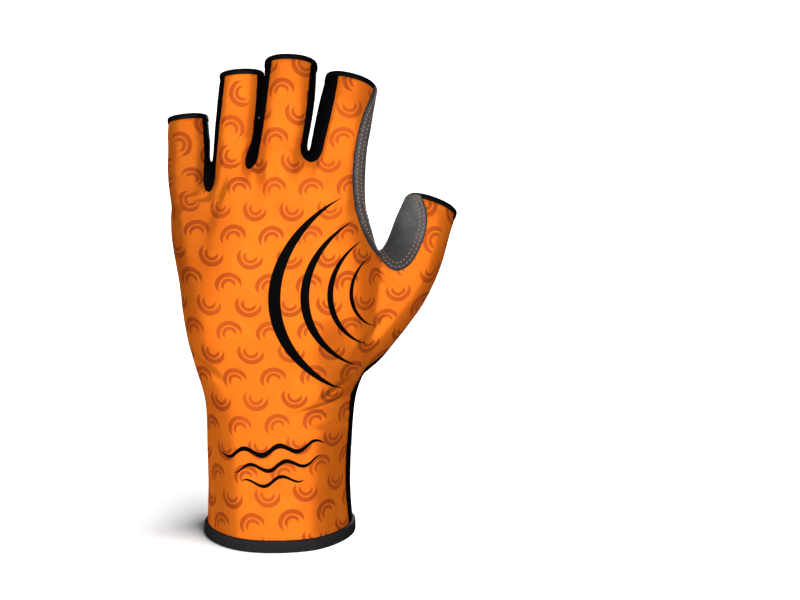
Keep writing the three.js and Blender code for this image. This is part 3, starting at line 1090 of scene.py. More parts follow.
@dataclass(frozen=True)
class Drape:
    """How the cloth sits: soft valleys, dents, creases and a little unevenness.

    The webs between the fingers are smoothed between two stretches in z, on the hand's
    side of a stretch in x. So are the thumb's root and its crotch.
    """

    webs_low: tuple[float, float] = (148, 160)
    webs_high: tuple[float, float] = (184, 196)
    webs_side: tuple[float, float] = (44, 50)
    thumb_root: SoftPlace = SoftPlace(40, 104, 26, 34)
    thumb_crotch: SoftPlace = SoftPlace(47, 142, 8, 10)
    blend: float = 0.6
    blend_rounds: int = 26
    crotch_rounds: int = 16
    even: float = 0.5
    even_rounds: int = 6
    wander: float = 0.22
    wander_size: float = 17.0

    def settle(self, form: HandForm) -> Surface:
        """The worn skin: smooth, with soft valleys between the digits and all its creases.

        Args:
            form: The worn form.

        Returns:
            The skin, with a normal at each point.
        """
        skin = form.skin()
        x, _, z = skin.points.T
        hand_side = 1 - ease(x, *self.webs_side)
        webs = ease(z, *self.webs_low) * (1 - ease(z, *self.webs_high)) * hand_side
        root = self.thumb_root.share(x, z)
        crotch = self.thumb_crotch.share(x, z)
        skin.relax(np.clip(webs + root + crotch, 0, 1) * self.blend, self.blend_rounds)
        skin.relax(np.clip(crotch, 0, 1) * self.blend, self.crotch_rounds)
        skin.relax(np.full(len(skin.points), self.even), self.even_rounds)
        skin = form.gathered(skin)
        normal = skin.normals()
        sink = self.sink(skin.points, normal)
        uneven = [noise.noise(Vector(point / self.wander_size)) for point in skin.points]
        skin.points = skin.points + normal * (np.array(uneven) * self.wander - sink)[:, None]
        skin.values["normal"] = skin.normals()
        return skin

    @staticmethod
    def sink(points: np.ndarray, normal: np.ndarray) -> np.ndarray:
        """Depth of all creases together.

        Args:
            points: The points, one row each.
            normal: Their normals.

        Returns:
            The depth at each point.
        """
        total = np.zeros(len(points))
        for crease in CREASES:
            lean = math.radians(crease.lean)
            x = points[:, 0] - crease.x
            z = points[:, 2] - crease.z
            along = (x * math.cos(lean) + z * math.sin(lean)) / crease.length
            across = (z * math.cos(lean) - x * math.sin(lean)) / crease.width
            shape = np.exp(-(along**2) - across**2)
            if crease.sharp:
                shape = shape * (1 - 1.6 * across**2)
            total += crease.depth * shape * ease(normal[:, 1] * crease.side, -0.1, 0.5)
        return total


@dataclass(frozen=True)
class ShadePlace:
    """A soft oval place of painted shade, in millimetres in x and z."""

    x: float
    z: float
    half_width: float
    half_height: float
    depth: float


class Sheet:
    """A material under way: a principled shader and short ways to feed it."""

    def __init__(self, name: str) -> None:
        """Starts an empty material with its shader and output."""
        self.material = bpy.data.materials.new(name)
        self.material.use_nodes = True
        self.tree = self.material.node_tree
        self.tree.nodes.clear()
        self.shader = self.tree.nodes.new("ShaderNodeBsdfPrincipled")
        output = self.tree.nodes.new("ShaderNodeOutputMaterial")
        self.tree.links.new(self.shader.outputs[0], output.inputs[0])

    def feed(self, socket: Socket, value: object) -> None:
        """Sets a socket, or links it where the value is a socket itself.

        Args:
            socket: The socket.
            value: A number, a colour or another node's output.
        """
        if isinstance(value, Socket):
            self.tree.links.new(value, socket)
        else:
            socket.default_value = value

    def calc(self, operation: str, *values: object) -> Socket:
        """Result of a math node.

        Args:
            operation: The node's operation.
            *values: Its values, as many as the operation takes.

        Returns:
            The result.
        """
        node = self.tree.nodes.new("ShaderNodeMath")
        node.operation = operation
        for socket, value in zip(node.inputs, values):
            self.feed(socket, value)
        return node.outputs[0]

    def plus(self, first: object, second: object) -> Socket:
        """Sum of two values."""
        return self.calc("ADD", first, second)

    def minus(self, first: object, second: object) -> Socket:
        """The first value less the second."""
        return self.calc("SUBTRACT", first, second)

    def times(self, first: object, second: object) -> Socket:
        """Product of two values."""
        return self.calc("MULTIPLY", first, second)

    def over(self, first: object, second: object) -> Socket:
        """The first value divided by the second."""
        return self.calc("DIVIDE", first, second)

    def most(self, first: object, second: object) -> Socket:
        """The greater of two values."""
        return self.calc("MAXIMUM", first, second)

    def size(self, value: object) -> Socket:
        """A value without its sign."""
        return self.calc("ABSOLUTE", value)

    def squares(self, first: object, second: object) -> Socket:
        """Sum of the squares of two values."""
        return self.plus(self.times(first, first), self.times(second, second))

    def taper(self, share: object) -> Socket:
        """A curve that falls from 1 at a share of 0 to 0 at 1 and -1."""
        return self.most(self.minus(1.0, self.times(share, share)), 0.0)

    def step(
        self, value: object, start: float, end: float, low: float = 0.0, high: float = 1.0
    ) -> Socket:
        """Smooth step of a value.

        Args:
            value: The value.
            start: Where the step begins.
            end: Where it ends.
            low: The result at the start.
            high: The result at the end.

        Returns:
            The step.
        """
        node = self.tree.nodes.new("ShaderNodeMapRange")
        node.interpolation_type = "SMOOTHSTEP"
        names = ("Value", "From Min", "From Max", "To Min", "To Max")
        for name, given in zip(names, (value, start, end, low, high)):
            self.feed(node.inputs[name], given)
        return node.outputs[0]

    def mix(self, share: object, low: object, high: object) -> Socket:
        """Colour between two colours.

        Args:
            share: Share of the second colour.
            low: The first colour.
            high: The second colour.

        Returns:
            The mixed colour.
        """
        node = self.tree.nodes.new("ShaderNodeMix")
        node.data_type = "RGBA"
        self.feed(node.inputs[0], share)
        self.feed(node.inputs[6], low)
        self.feed(node.inputs[7], high)
        return node.outputs[2]

    def place(self) -> Socket:
        """Position on the object, in metres."""
        return self.tree.nodes.new("ShaderNodeTexCoord").outputs["Object"]

    def turned(self) -> Socket:
        """Normal of the object's surface."""
        return self.tree.nodes.new("ShaderNodeTexCoord").outputs["Normal"]

    def parts(self, vector: Socket) -> tuple[Socket, ...]:
        """The three parts of a vector."""
        node = self.tree.nodes.new("ShaderNodeSeparateXYZ")
        self.feed(node.inputs[0], vector)
        return tuple(node.outputs)

    def noise(
        self, scale: float, detail: float = 3.0, rough: float = 0.55, stretch: object = None
    ) -> Socket:
        """Noise over the object, in turns per metre.

        Args:
            scale: Features for each metre.
            detail: Octaves of finer noise.
            rough: Strength of the finer noise.
            stretch: Three factors on the axes, or None for an even noise.

        Returns:
            The noise, about 0.5 on average.
        """
        node = self.tree.nodes.new("ShaderNodeTexNoise")
        vector = self.place()
        if stretch is not None:
            turn = self.tree.nodes.new("ShaderNodeMapping")
            turn.inputs["Scale"].default_value = stretch
            self.feed(turn.inputs[0], vector)
            vector = turn.outputs[0]
        self.feed(node.inputs["Vector"], vector)
        node.inputs["Scale"].default_value = scale
        node.inputs["Detail"].default_value = detail
        node.inputs["Roughness"].default_value = rough
        return node.outputs[0]

    def darkened(self, colour: Socket, kept: object, places: tuple[ShadePlace, ...]) -> Socket:
        """Paints shade into a colour: less of it is kept, and less still at a few soft places.

        Args:
            colour: The colour.
            kept: The share of it that is kept elsewhere.
            places: The darker places.

        Returns:
            The darker colour.
        """
        x, _, z = self.parts(self.place())
        for place in places:
            across = self.over(self.minus(x, place.x * METRE), place.half_width * METRE)
            along = self.over(self.minus(z, place.z * METRE), place.half_height * METRE)
            away = self.squares(across, along)
            kept = self.times(kept, self.step(away, 0.0, 1.0, 1.0 - place.depth, 1.0))
        return self.mix(kept, (0.0, 0.0, 0.0, 1.0), colour)

    def paint(self, colour: Socket) -> None:
        """Gives the shader its colour."""
        self.feed(self.shader.inputs["Base Color"], colour)

    def bump(self, height: Socket, strength: float, distance: float) -> None:
        """Adds relief to the shader.

        Args:
            height: Height of the relief, from 0 to 1.
            strength: Its strength.
            distance: Its full height in metres.
        """
        node = self.tree.nodes.new("ShaderNodeBump")
        node.inputs["Strength"].default_value = strength
        node.inputs["Distance"].default_value = distance
        self.feed(node.inputs["Height"], height)
        earlier = self.shader.inputs["Normal"]
        if earlier.is_linked:
            self.feed(node.inputs["Normal"], earlier.links[0].from_socket)
        self.feed(earlier, node.outputs[0])

    def finish(
        self, roughness: float, sheen: float, sheen_roughness: float = 0.5, specular: float = 0.3
    ) -> Material:
        """Sets the shader's even values.

        Args:
            roughness: Roughness of the surface.
            sheen: Weight of its sheen.
            sheen_roughness: Roughness of the sheen.
            specular: Level of its reflections.

        Returns:
            The finished material.
        """
        self.shader.inputs["Roughness"].default_value = roughness
        self.shader.inputs["Sheen Weight"].default_value = sheen
        self.shader.inputs["Sheen Roughness"].default_value = sheen_roughness
        self.shader.inputs["Specular IOR Level"].default_value = specular
        return self.material


@dataclass(frozen=True)
class KnitFinish:
    """Thin stretch knit: fine wales and uneven dye."""

    name: str
    base: Colour
    shade: Colour
    wale: float = 0.00055
    relief: float = 0.00006
    roughness: float = 0.72
    sheen: float = 0.0
    specular: float = 0.03
    # Painted shade: how much darker the flanks turning from the light are painted, and soft places painted
    # darker.
    side_shade: float = 0.38
    places: tuple[ShadePlace, ...] = ()

    def mottled(self, sheet: Sheet) -> Socket:
        """The uneven dye."""
        mottle = sheet.step(sheet.noise(90, 4.0, 0.6), 0.35, 0.68)
        return sheet.mix(mottle, self.shade, self.base)

    def wales(self, sheet: Sheet) -> Socket:
        """The knit's fine ribs.

        Args:
            sheet: The material under way.

        Returns:
            Their height.
        """
        node = sheet.tree.nodes.new("ShaderNodeTexWave")
        node.bands_direction = "X"
        node.inputs["Scale"].default_value = 1 / (self.wale * 20)
        node.inputs["Distortion"].default_value = 0.6
        node.inputs["Detail"].default_value = 1.0
        node.inputs["Detail Scale"].default_value = 3.0
        sheet.feed(node.inputs["Vector"], sheet.place())
        return node.outputs["Fac"]

    def with_painted_shade(self, sheet: Sheet, ground: Socket) -> Socket:
        """A colour with painted shade: darker on the flanks that turn away from front and back, and at a few
        soft places.

        Args:
            sheet: The material under way.
            ground: The even colour.

        Returns:
            The colour with its painted shade on the flanks and at the places.
        """
        # Painted shade: where the surface turns from facing front or back the colour is darkened, and it
        # comes back where the surface faces fully sideways.
        facing = sheet.size(sheet.parts(sheet.turned())[1])
        flank = sheet.step(facing, 0.958, 0.82, 0.0, self.side_shade)
        edge = sheet.step(facing, 0.7, 0.3, 0.0, self.side_shade)
        dark = sheet.minus(flank, edge)
        kept = sheet.minus(1.0, dark)
        return sheet.darkened(ground, kept, self.places)

    def relieve(self, sheet: Sheet) -> None:
        """Adds the knit's relief to a sheet."""
        sheet.bump(self.wales(sheet), 0.5, self.relief)
        sheet.bump(sheet.noise(1400, 2.0, 0.6), 0.35, self.relief * 1.5)

    def make(self) -> Material:
        """The finished material."""
        sheet = Sheet(self.name)
        sheet.paint(self.with_painted_shade(sheet, self.mottled(sheet)))
        self.relieve(sheet)
        return sheet.finish(self.roughness, self.sheen, specular=self.specular)


@dataclass(frozen=True)
class MarkedFinish(KnitFinish):
    """Knit with a small printed mark, a thin oval ring round a few ripples.

    Its sizes are in millimetres in x and z on the palm side of the cuff.
    """

    ink: Colour = (0.86, 0.17, 0.018, 1.0)
    centre_x: float = -2.0
    centre_z: float = 37.0
    half_width: float = 13.0
    half_height: float = 9.0
    line: float = 1.1
    ripples: tuple[float, ...] = (-3.2, 0.2, 3.6)
    ripple_half: float = 8.0
    swing: float = 0.9
    wave: float = 8.0

    def marked(self, sheet: Sheet) -> Socket:
        """The oval ring and the ripples in it.

        Args:
            sheet: The material under way.

        Returns:
            Share of the mark's ink.
        """
        x, _, z = sheet.parts(sheet.place())
        x = sheet.minus(sheet.over(x, METRE), self.centre_x)
        z = sheet.minus(sheet.over(z, METRE), self.centre_z)
        across = sheet.over(x, self.half_width)
        along = sheet.over(z, self.half_height)
        far = sheet.calc("SQRT", sheet.squares(across, along))
        off = sheet.size(sheet.minus(far, 1.0))
        off = sheet.times(off, self.half_height)
        total: object = sheet.step(sheet.minus(off, self.line / 2), 0.1, -0.1)
        for height in self.ripples:
            turn = sheet.calc("SINE", sheet.times(x, 2 * math.pi / self.wave))
            crest = sheet.times(turn, self.swing)
            off = sheet.minus(sheet.minus(z, height), crest)
            share = sheet.over(x, self.ripple_half)
            width = sheet.times(sheet.taper(share), self.line / 2)
            ripple = sheet.step(sheet.minus(sheet.size(off), width), 0.0, -0.2)
            total = sheet.most(total, ripple)
        return total

    def make(self) -> Material:
        """The finished material."""
        sheet = Sheet(self.name)
        ground = self.mottled(sheet)
        sheet.paint(sheet.mix(self.marked(sheet), ground, self.ink))
        self.relieve(sheet)
        return sheet.finish(self.roughness, self.sheen, specular=self.specular)


@dataclass(frozen=True)
class Crescent:
    """A printed crescent that opens to the thumb side, in print millimetres."""

    u: float
    v: float
    radius: float
    thickness: float
    reach: float = 66.0


@dataclass(frozen=True)
class Ripple:
    """A printed wavy stroke, in print millimetres."""

    u: float
    v: float
    half_length: float
    thickness: float
    swing: float = 1.7
    wave: float = 16.0


@dataclass(frozen=True)
class PrintFinish(KnitFinish):
    """Printed jersey: rows of tonal fish scales under black crescents and ripples."""

    tone: Colour = (0.46, 0.074, 0.01, 1.0)
    ink: Colour = (0.0007, 0.0005, 0.0006, 1.0)
    # Painted shade: a broad darker band on the little-finger side of the back and a darker patch low on its
    # thumb side, where the surface turns from the light.
    places: tuple[ShadePlace, ...] = (ShadePlace(-50, 156, 40, 70, 0.4), ShadePlace(26.5, 90, 11, 26, 0.42))
    pitch: float = 17.0
    row: float = 10.6
    radius: float = 6.3
    line: float = 2.1
    lean: float = 0.32
    lift: float = 1.7
    crescents: tuple[Crescent, ...] = (
        Crescent(47, 120, 47, 5.2),
        Crescent(49, 120, 35.5, 3.8),
        Crescent(51, 120, 26, 2.7),
        Crescent(53, 120, 18, 1.9),
    )
    ripples: tuple[Ripple, ...] = (
        Ripple(-4, 52, 25, 2.6),
        Ripple(-2, 45, 20, 2.2),
        Ripple(-5, 38.5, 14, 1.9),
    )

    def scales(self, sheet: Sheet, u: object, v: object) -> Socket:
        """Separate fish scales of two arcs each, turned from row to row.

        Args:
            sheet: The material under way.
            u: Place across the print.
            v: Place up the print.

        Returns:
            Share of the darker tone.
        """
        index = sheet.calc("ROUND", sheet.over(v, self.row))
        odd = sheet.calc("PINGPONG", index, 1.0)
        moved = sheet.plus(u, sheet.times(odd, self.pitch / 2))
        across = sheet.calc("WRAP", moved, self.pitch / 2, -self.pitch / 2)
        along = sheet.minus(v, sheet.times(index, self.row))
        side = sheet.minus(sheet.times(odd, 2.0), 1.0)
        lean = sheet.times(side, self.lean)
        x = sheet.minus(across, sheet.times(along, lean))
        y = sheet.plus(along, sheet.times(across, lean))
        y = sheet.minus(sheet.times(y, side), self.lift)
        far = sheet.calc("SQRT", sheet.squares(x, y))
        opening = sheet.minus(sheet.times(sheet.size(x), 0.35), y)
        total: object = 0.0
        for radius, line in ((self.radius, self.line), (self.radius * 0.56, self.line * 0.8)):
            off = sheet.size(sheet.minus(far, radius - line / 2))
            taper = sheet.times(sheet.step(opening, -0.6, radius * 0.7), line / 2)
            ring = sheet.step(sheet.minus(off, taper), 0.12, -0.12)
            drawn = sheet.times(ring, sheet.step(opening, -0.55, -0.3))
            total = sheet.most(total, drawn)
        return total

    def inked(self, sheet: Sheet, u: object, v: object) -> Socket:
        """The crescents and the ripples.

        Args:
            sheet: The material under way.
            u: Place across the print.
            v: Place up the print.

        Returns:
            Share of black ink.
        """
        total: object = 0.0
        for mark in self.crescents:
            cosine = math.cos(math.radians(mark.reach))
            shift = mark.thickness / (1 - cosine)
            inner = mark.radius + shift * cosine
            outer_away = self.away(sheet, u, v, mark.u, mark.v)
            inner_away = self.away(sheet, u, v, mark.u + shift, mark.v)
            inside = sheet.step(outer_away, mark.radius + 0.1, mark.radius - 0.1)
            outside = sheet.step(inner_away, inner - 0.1, inner + 0.1)
            left = sheet.step(u, mark.u + 0.5, mark.u - 0.5)
            drawn = sheet.times(sheet.times(inside, outside), left)
            total = sheet.most(total, drawn)
        for mark in self.ripples:
            along = sheet.minus(u, mark.u)
            turn = sheet.calc("SINE", sheet.times(along, 2 * math.pi / mark.wave))
            crest = sheet.times(turn, mark.swing)
            off = sheet.size(sheet.minus(sheet.minus(v, mark.v), crest))
            share = sheet.over(along, mark.half_length)
            width = sheet.times(sheet.calc("SQRT", sheet.taper(share)), mark.thickness / 2)
            total = sheet.most(total, sheet.step(sheet.minus(off, width), 0.0, -0.2))
        return total

    @staticmethod
    def away(sheet: Sheet, u: object, v: object, centre_u: float, centre_v: float) -> Socket:
        """Distance in the print from a centre.

        Args:
            sheet: The material under way.
            u: Place across the print.
            v: Place up the print.
            centre_u: The centre's place across.
            centre_v: The centre's place up.

        Returns:
            The distance.
        """
        across = sheet.minus(u, centre_u)
        along = sheet.minus(v, centre_v)
        return sheet.calc("SQRT", sheet.squares(across, along))

    def make(self) -> Material:
        """The finished material, which reads the print map in centimetres."""
        sheet = Sheet(self.name)
        print_map = sheet.tree.nodes.new("ShaderNodeUVMap")
        print_map.uv_map = "print"
        u, v, _ = sheet.parts(print_map.outputs[0])
        u = sheet.times(u, PrintMap.scale)
        v = sheet.times(v, PrintMap.scale)
        mottle = sheet.step(sheet.noise(70, 4.0, 0.6), 0.32, 0.7)
        ground = sheet.mix(mottle, self.shade, self.base)
        fade = sheet.step(sheet.noise(45, 2.0, 0.5), 0.3, 0.7, 0.8, 1.0)
        printed = sheet.mix(sheet.times(self.scales(sheet, u, v), fade), ground, self.tone)
        worn = sheet.step(sheet.noise(900, 3.0, 0.7), 0.66, 0.9, 1.0, 0.93)
        inked = sheet.times(self.inked(sheet, u, v), worn)
        dyed = self.with_painted_shade(sheet, sheet.mix(inked, printed, self.ink))
        sheet.paint(dyed)
        self.relieve(sheet)
        return sheet.finish(self.roughness, self.sheen, specular=self.specular)


@dataclass(frozen=True)
class SuedeFinish:
    """Brushed synthetic suede: short nap in patches and a broad sheen."""

    name: str = "grey_suede"
    dark: Colour = (0.055, 0.054, 0.057, 1.0)
    light: Colour = (0.13, 0.127, 0.133, 1.0)
    # Soft places where shade is painted into the suede.
    painted_shade_places: tuple[ShadePlace, ...] = ()

    def make(self) -> Material:
        """The finished material."""
        sheet = Sheet(self.name)
        broad = sheet.step(sheet.noise(160, 5.0, 0.65), 0.3, 0.72)
        fine = sheet.noise(1500, 3.0, 0.75)
        speckle = sheet.step(fine, 0.34, 0.66)
        share = sheet.plus(sheet.times(broad, 0.45), sheet.times(speckle, 0.55))
        nap = sheet.mix(share, self.dark, self.light)
        # Painted shade at those places.
        sheet.paint(sheet.darkened(nap, 1.0, self.painted_shade_places))
        sheet.bump(fine, 0.6, 0.00018)
        sheet.bump(sheet.noise(520, 3.0, 0.6), 0.4, 0.00025)
        return sheet.finish(roughness=0.95, sheen=0.06, sheen_roughness=0.45, specular=0.12)


@dataclass(frozen=True)
class TapeFinish:
    """Folded elastic tape and thick hems: fine ribs along the edge."""

    name: str
    base: Colour
    shade: Colour
    roughness: float = 0.62

    def make(self) -> Material:
        """The finished material."""
        sheet = Sheet(self.name)
        mottle = sheet.noise(300, 3.0, 0.6)
        sheet.paint(sheet.mix(mottle, self.shade, self.base))
        sheet.bump(sheet.noise(2200, 2.0, 0.6, (1.0, 1.0, 0.35)), 0.6, 0.00016)
        return sheet.finish(self.roughness, sheen=0.0, sheen_roughness=0.4, specular=0.06)


@dataclass(frozen=True)
class ThreadFinish:
    """Glossy twisted sewing thread."""

    name: str
    base: Colour
    shade: Colour

    def make(self) -> Material:
        """The finished material."""
        sheet = Sheet(self.name)
        sheet.paint(sheet.mix(sheet.noise(900, 2.0), self.shade, self.base))
        sheet.bump(sheet.noise(5200, 1.0), 0.5, 0.0001)
        return sheet.finish(roughness=0.5, sheen=0.15)


@dataclass(frozen=True)
class Wardrobe:
    """All finishes of the glove, made once."""

    printed: Material
    plain: Material
    black: Material
    marked: Material
    suede: Material
    crotch_suede: Material
    cut_edge: Material
    tape: Material
    hem: Material
    inside: Material
    thread: Material

    @classmethod
    def make(cls) -> "Wardrobe":
        """Makes every finish."""
        black = (0.0018, 0.0015, 0.002, 1.0)
        deep_black = (0.001, 0.0009, 0.0012, 1.0)
        # The suede's darker cut edge; the same finish paints a shadow line along each patch's rim.
        cut_dark = (0.018, 0.017, 0.018, 1.0)
        cut_light = (0.036, 0.035, 0.036, 1.0)
        matte = {"roughness": 0.85}
        # Painted shade on the crotch patch towards the thumb's crotch.
        crotch = (ShadePlace(55, 136, 16, 20, 0.6),)
        return cls(
            printed=PrintFinish("printed_jersey", (0.86, 0.19, 0.012, 1.0), (0.82, 0.158, 0.01, 1.0)).make(),
            plain=KnitFinish("plain_jersey", (0.86, 0.17, 0.018, 1.0), (0.8, 0.14, 0.014, 1.0)).make(),
            black=KnitFinish("black_stretch", black, deep_black, **matte).make(),
            marked=MarkedFinish("marked_black_stretch", black, deep_black, **matte).make(),
            suede=SuedeFinish().make(),
            crotch_suede=SuedeFinish("crotch_suede", painted_shade_places=crotch).make(),
            cut_edge=SuedeFinish("suede_cut_edge", cut_dark, cut_light).make(),
            tape=TapeFinish("black_tape", black, deep_black).make(),
            hem=TapeFinish("dark_hem", (0.022, 0.02, 0.0225, 1.0), (0.014, 0.0125, 0.0145, 1.0), 0.8).make(),
            inside=KnitFinish("cloth_inside", (0.55, 0.55, 0.565, 1.0), (0.43, 0.43, 0.445, 1.0)).make(),
            thread=ThreadFinish("orange_thread", (0.58, 0.31, 0.16, 1.0), (0.4, 0.15, 0.055, 1.0)).make(),
        )


@dataclass(frozen=True)
class PrintMap:
    """Lays the print flat on the back panel, as on the cloth before it was sewn."""

    scale: float = 10.0
    rounds: int = 10

    def flatten(self, panel: Surface) -> np.ndarray:
        """Unrolls a panel and lines it up with the hand.

        Args:
            panel: The back panel's outer face.

        Returns:
            Print coordinates of each point in millimetres, close to x and z in front.
        """
        made = MeshMaker.plain("print_cloth", panel)
        bpy.context.view_layer.objects.active = made
        made.select_set(True)
        bpy.ops.object.mode_set(mode="EDIT")
        bpy.ops.mesh.select_all(action="SELECT")
        bpy.ops.uv.unwrap(
            method="MINIMUM_STRETCH",
            fill_holes=False,
            correct_aspect=False,
            margin=0.0,
            iterations=self.rounds,
        )
        bpy.ops.object.mode_set(mode="OBJECT")
        loops = np.zeros(len(made.data.loops), np.int32)
        made.data.loops.foreach_get("vertex_index", loops)
        flat = np.zeros(len(loops) * 2, np.float32)
        made.data.uv_layers.active.data.foreach_get("uv", flat)
        spread = np.zeros((len(panel.points), 2))
        spread[loops] = flat.reshape(-1, 2)
        bpy.data.objects.remove(made)
        front = panel.values["normal"][:, 1] < -0.8
        source = spread[front] - spread[front].mean(0)
        target = panel.points[front][:, [0, 2]]
        centre = target.mean(0)
        target = target - centre
        turned = source[:, 0] + 1j * source[:, 1]
        wanted = target[:, 0] + 1j * target[:, 1]
        straight = np.vdot(turned, wanted)
        mirrored = np.vdot(np.conj(turned), wanted)
        whole = spread - spread[front].mean(0)
        number = whole[:, 0] + 1j * whole[:, 1]
        if abs(mirrored) > abs(straight):
            number = np.conj(number)
            straight = mirrored
        number = number * straight / np.vdot(turned, turned).real
        return np.stack([number.real, number.imag], axis=1) + centre


@dataclass(frozen=True)
class Cut:
    """The flat size that a piece was cut to, in metres, its area, and what it is sewn to."""

    width: float
    length: float
    area: float
    sewn_to: tuple[str, ...]

    def declare(self, piece: Object, held: str, *on_it: Object) -> None:
        """Takes a piece of this cut, and does nothing with it.

        Args:
            piece: The finished piece; not used.
            *on_it: Separate pieces that go with it; not used.
        """


@dataclass(frozen=True)
class ClothPiece:
    """A cut piece of cloth with its thickness, its seam grooves and its pale inner face."""

    name: str
    node: str
    slot: str
    cut: Cut
    wall: float = 1.2
    groove: float = 0.42
    groove_width: float = 1.1
    pucker: float = 0.16
    pucker_reach: float = 3.6
    pucker_size: float = 3.2
    parting: float = 0.08

    def lift(self, face: Surface) -> np.ndarray:
        """How the outer face lies on the skin, sunk and puckered at the seams.

        Args:
            face: The outer face.

        Returns:
            The height of each of its points over the skin.
        """
        rim = np.unique(face.rim())
        tree = KDTree(len(rim))
        for index, point in enumerate(face.points[rim]):
            tree.insert(point, index)
        tree.balance()
        away = np.array([tree.find(point)[2] for point in face.points])
        wave = np.array([noise.noise(Vector(point / self.pucker_size)) for point in face.points])
        sunk = -self.groove * np.exp(-((away / self.groove_width) ** 2))
        return sunk + self.pucker * wave * np.exp(-away / self.pucker_reach)

    def thicken(self, face: Surface) -> tuple[Surface, int]:
        """Closes an outer face with an inner face and edges.

        Args:
            face: The outer face.

        Returns:
            The closed surface, and how many of its faces, the first ones, are outside.
        """
        normal = face.values["normal"]
        both = face.neighbours()
        step = face.points[both[:, 1]] - face.points[both[:, 0]]
        inward = summed(both[:, 0], step, len(face.points))
        moved = face.points.copy()
        border = np.unique(face.rim())
        moved[border] += unit(inward[border]) * self.parting
        outer = moved + normal * self.lift(face)[:, None]
        inner = moved - normal * self.wall
        return face.closed(outer, inner)

    def make(self, face: Surface, outside: Material, inside: Material) -> Object:
        """Builds the piece and dresses it.

        Args:
            face: The outer face.
            outside: Finish of the outer face and the edges.
            inside: Finish of the inner face.

        Returns:
            The piece.
        """
        closed, outer = self.thicken(face)
        made = MeshMaker.plain(self.name, closed)
        made.data.materials.append(outside)
        made.data.materials.append(inside)
        index = np.zeros(len(closed.faces), np.int32)
        index[outer:] = 1
        made.data.polygons.foreach_set("material_index", index)
        MeshMaker.worn(made, self.slot, self.node)
        self.cut.declare(made, "stretched")
        return made


@dataclass(frozen=True)
class PrintedPiece(ClothPiece):
    """The printed back, which carries the print map."""

    def make(self, face: Surface, outside: Material, inside: Material) -> Object:
        """Builds the piece, dresses it and lays the print on it.

        Args:
            face: The outer face.
            outside: Finish of the outer face and the edges.
            inside: Finish of the inner face.

        Returns:
            The piece.
        """
        flat = PrintMap().flatten(face)
        made = super().make(face, outside, inside)
        layer = made.data.uv_layers.new(name="print")
        loops = np.zeros(len(made.data.loops), np.int32)
        made.data.loops.foreach_get("vertex_index", loops)
        both = np.concatenate([flat, flat]) / PrintMap.scale
        layer.data.foreach_set("uv", both[loops].astype(np.float32).ravel())
        return made


@dataclass(frozen=True)
class SuedePatch:
    """A suede patch laid on the cloth, with a rounded cut edge and rows of stitches."""

    name: str
    node: str
    field_name: str
    cut: Cut
    stitch_insets: tuple[float, ...]
    thickness: float = 0.95
    edge_share: float = 0.45
    sunk: float = 0.35
    edge: float = 0.6
    press: float = 0.22
    press_width: float = 0.6
    least_row: float = 12

    def taken(self, skin: Surface) -> Surface:
        """Cuts the skin under the patch out, with a line just inside its edge.

        Args:
            skin: The marked skin.

        Returns:
            The part under the patch.
        """
        skin = skin.split(self.field_name).split(self.field_name, self.edge)
        patch = skin.take(skin.on_faces(self.field_name) > 0)
        patch.values["normal"] = unit(patch.values["normal"])
        return patch

    def make(self, skin: Surface, finish: Material, cut_edge: Material) -> Object:
        """Builds the patch and dresses it.

        Args:
            skin: The marked skin.
            finish: Finish of the suede.
            cut_edge: Finish of its edge, of a thin band along its rim painted as a shadow line, and of its
                inner face.

        Returns:
            The patch.
        """
        patch = self.taken(skin)
        normal = patch.values["normal"]
        depth = patch.values[self.field_name]
        inset = np.clip(depth / self.edge, 0, 1)
        rounded = (1 - self.edge_share) * np.sqrt(1 - (1 - inset) ** 2)
        rise = self.thickness * (self.edge_share + rounded)
        press = sum(
            self.press * np.exp(-(((depth - row) / self.press_width) ** 2)) for row in self.stitch_insets
        )
        outer = patch.points + normal * (rise - press)[:, None]
        inner = patch.points - normal * self.sunk
        closed, _ = patch.closed(outer, inner)
        made = MeshMaker.plain(self.name, closed)
        made.data.materials.append(finish)
        made.data.materials.append(cut_edge)
        index = np.zeros(len(closed.faces), np.int32)
        # A thin band along the rim of the top face takes the darker edge finish, a painted shadow line along
        # the patch's edge.
        index[:len(patch.faces)][patch.on_faces(self.field_name) < self.edge * 0.7] = 1
        index[len(patch.faces):] = 1
        made.data.polygons.foreach_set("material_index", index)
        return MeshMaker.worn(made, "grey_suede", self.node)

    def rows(self, skin: Surface) -> list[Trail]:
        """Lines that its stitches follow.

        Args:
            skin: The marked skin.

        Returns:
            The lines, on the skin.
        """
        trails = []
        for inset in self.stitch_insets:
            found = skin.trace(self.field_name, inset)
            trails += [trail for trail in found if trail.length() > self.least_row]
        return trails


